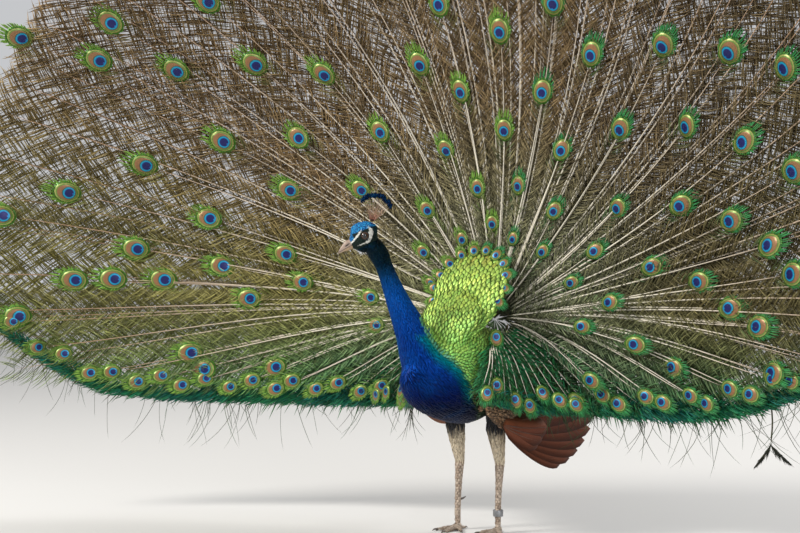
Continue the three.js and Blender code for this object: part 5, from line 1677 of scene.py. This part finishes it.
hornPaint = Paint("clawHorn", Roughness=0.35)
grain = hornPaint.noise(400, 3)
hornLook = hornPaint.use(hornPaint.mix(grain.within(0.3, 0.8), (0.045, 0.032, 0.024), (0.13, 0.10, 0.075)),
        0.28 + grain * 0.3, None, grain, 0.35, 0.0004)
claws, spur = (15, 13, 13, 9), {"height": 72, "length": 17, "radius": 3.6}
for side, sideName in ((1, "left"), (-1, "right")):
    shells = []
    for (bearing, length, half), claw in zip(toes, claws):
        lead = np.array([-side * math.sin(math.radians(bearing)), math.cos(math.radians(bearing))])
        base = np.array([side * legSide, legForward])
        stations = [(*(base + lead * out), up, wide, tall) for out, up, wide, tall in (
            (length - 4, half * 0.66, half * 0.5, half * 0.5), (length + claw * 0.45, half * 0.72, half * 0.34,
            half * 0.42),
            (length + claw * 0.8, half * 0.5, half * 0.18, half * 0.24), (length + claw, 0.9, 0.5, 0.5))]
        shells.append(Limb(stations, 0, 0.5, across=(0, 0, 1)).shell(14, 16))
    points, faces = joinShells(shells)
    points[:, 2] = np.maximum(points[:, 2], 0.0002)
    formPiece(f"claws{sideName.title()}", formOf(points, faces), hornLook, "claw_horn",
            *[f"claw_{sideName}_{toe}" for toe in ("middle", "inner", "outer", "hind")])
    stations = [(side * (legSide - inward), legForward - out, spur["height"] + up, spur["radius"] * size,
            spur["radius"] * size) for out, inward, up, size in ((2, 1, 0, 1), (8 + spur["length"] * 0.4, 5, 1, 0.7),
            (7 + spur["length"], 9, 5, 0.17))]
    points, faces = Limb(stations, 0, 0.5).shell(16, 18)
    formPiece(f"spur{sideName.title()}", formOf(points, faces), hornLook, "claw_horn", f"spur_{sideName}")

# leg band
band = {"inner": 0.0106, "outer": 0.012, "low": 0.040, "high": 0.055}
form = bmesh.new()
bmesh.ops.create_grid(form, x_segments=1, y_segments=1, size=0.5)
bmesh.ops.scale(form, vec=(band["outer"] - band["inner"], band["high"] - band["low"], 1), verts=form.verts)
bmesh.ops.rotate(form, verts=form.verts, cent=(0, 0, 0), matrix=Matrix.Rotation(math.pi / 2, 3, "X"))
bmesh.ops.translate(form, verts=form.verts,
        vec=((band["outer"] + band["inner"]) / 2, 0, (band["high"] + band["low"]) / 2))
bmesh.ops.delete(form, geom=form.faces[:], context="FACES_ONLY")
bmesh.ops.bevel(form, geom=form.verts[:], offset=0.0004, segments=3, profile=0.5, affect="VERTICES", material=-1)
bmesh.ops.spin(form, geom=form.verts[:] + form.edges[:], cent=(0, 0, 0), axis=(0, 0, 1), dvec=(0, 0, 0),
        angle=2 * math.pi, steps=48, use_merge=True, use_duplicate=False)
bmesh.ops.remove_doubles(form, verts=form.verts, dist=1e-6)
bmesh.ops.translate(form, verts=form.verts, vec=Vector(place((legSide, legForward, 0))))
metalPaint = Paint("bandMetal", Roughness=0.35, Metallic=1.0)
scratch = metalPaint.noise(900, 2, stretch=(0.2, 0.2, 3))
dull = metalPaint.noise(130, 2)
metalLook = metalPaint.use(metalPaint.mix(dull, (0.36, 0.37, 0.39), (0.22, 0.22, 0.22)), 0.28 + scratch * 0.3,
        None, scratch, 0.25, 0.0003)
formPiece("legBand", form, metalLook, "band_metal", "leg_band")

# the skin as a piece, the floor and the world
unwrap.data.foreach_set("uv", skinPlaces[np.array([l.vertex_index
        for l in skin.data.loops])].astype(np.float32).ravel())
finishPiece(skin, "peacock_blue", "trunk", "head",
        *[f"{part}_{side}" for part in ("thigh", "shank", "tarsus", "foot") for side in ("left", "right")])

studio = {"floorHalf": 30, "floor": (0.62, 0.61, 0.59), "floorCloud": (0.56, 0.555, 0.54),
        "air": (0.62, 0.63, 0.65, 1), "airPower": 0.9}
wide = studio["floorHalf"]
floor = meshFrom("floor", [(-wide, -wide, 0), (wide, -wide, 0), (wide, wide, 0), (-wide, wide, 0)],
        [(0, 1, 2), (0, 2, 3)])
paint = Paint("floorPaint", Roughness=0.8)
floor.data.materials.append(paint.use(paint.mix(paint.noise(1.5, 2) * 0.1, studio["floor"], studio["floorCloud"])))
world = bpy.data.worlds.new("studio")
world.use_nodes = True
air = world.node_tree.nodes["Background"].inputs
air["Color"].default_value, air["Strength"].default_value = studio["air"], studio["airPower"]
bpy.context.scene.world = world

print("done")
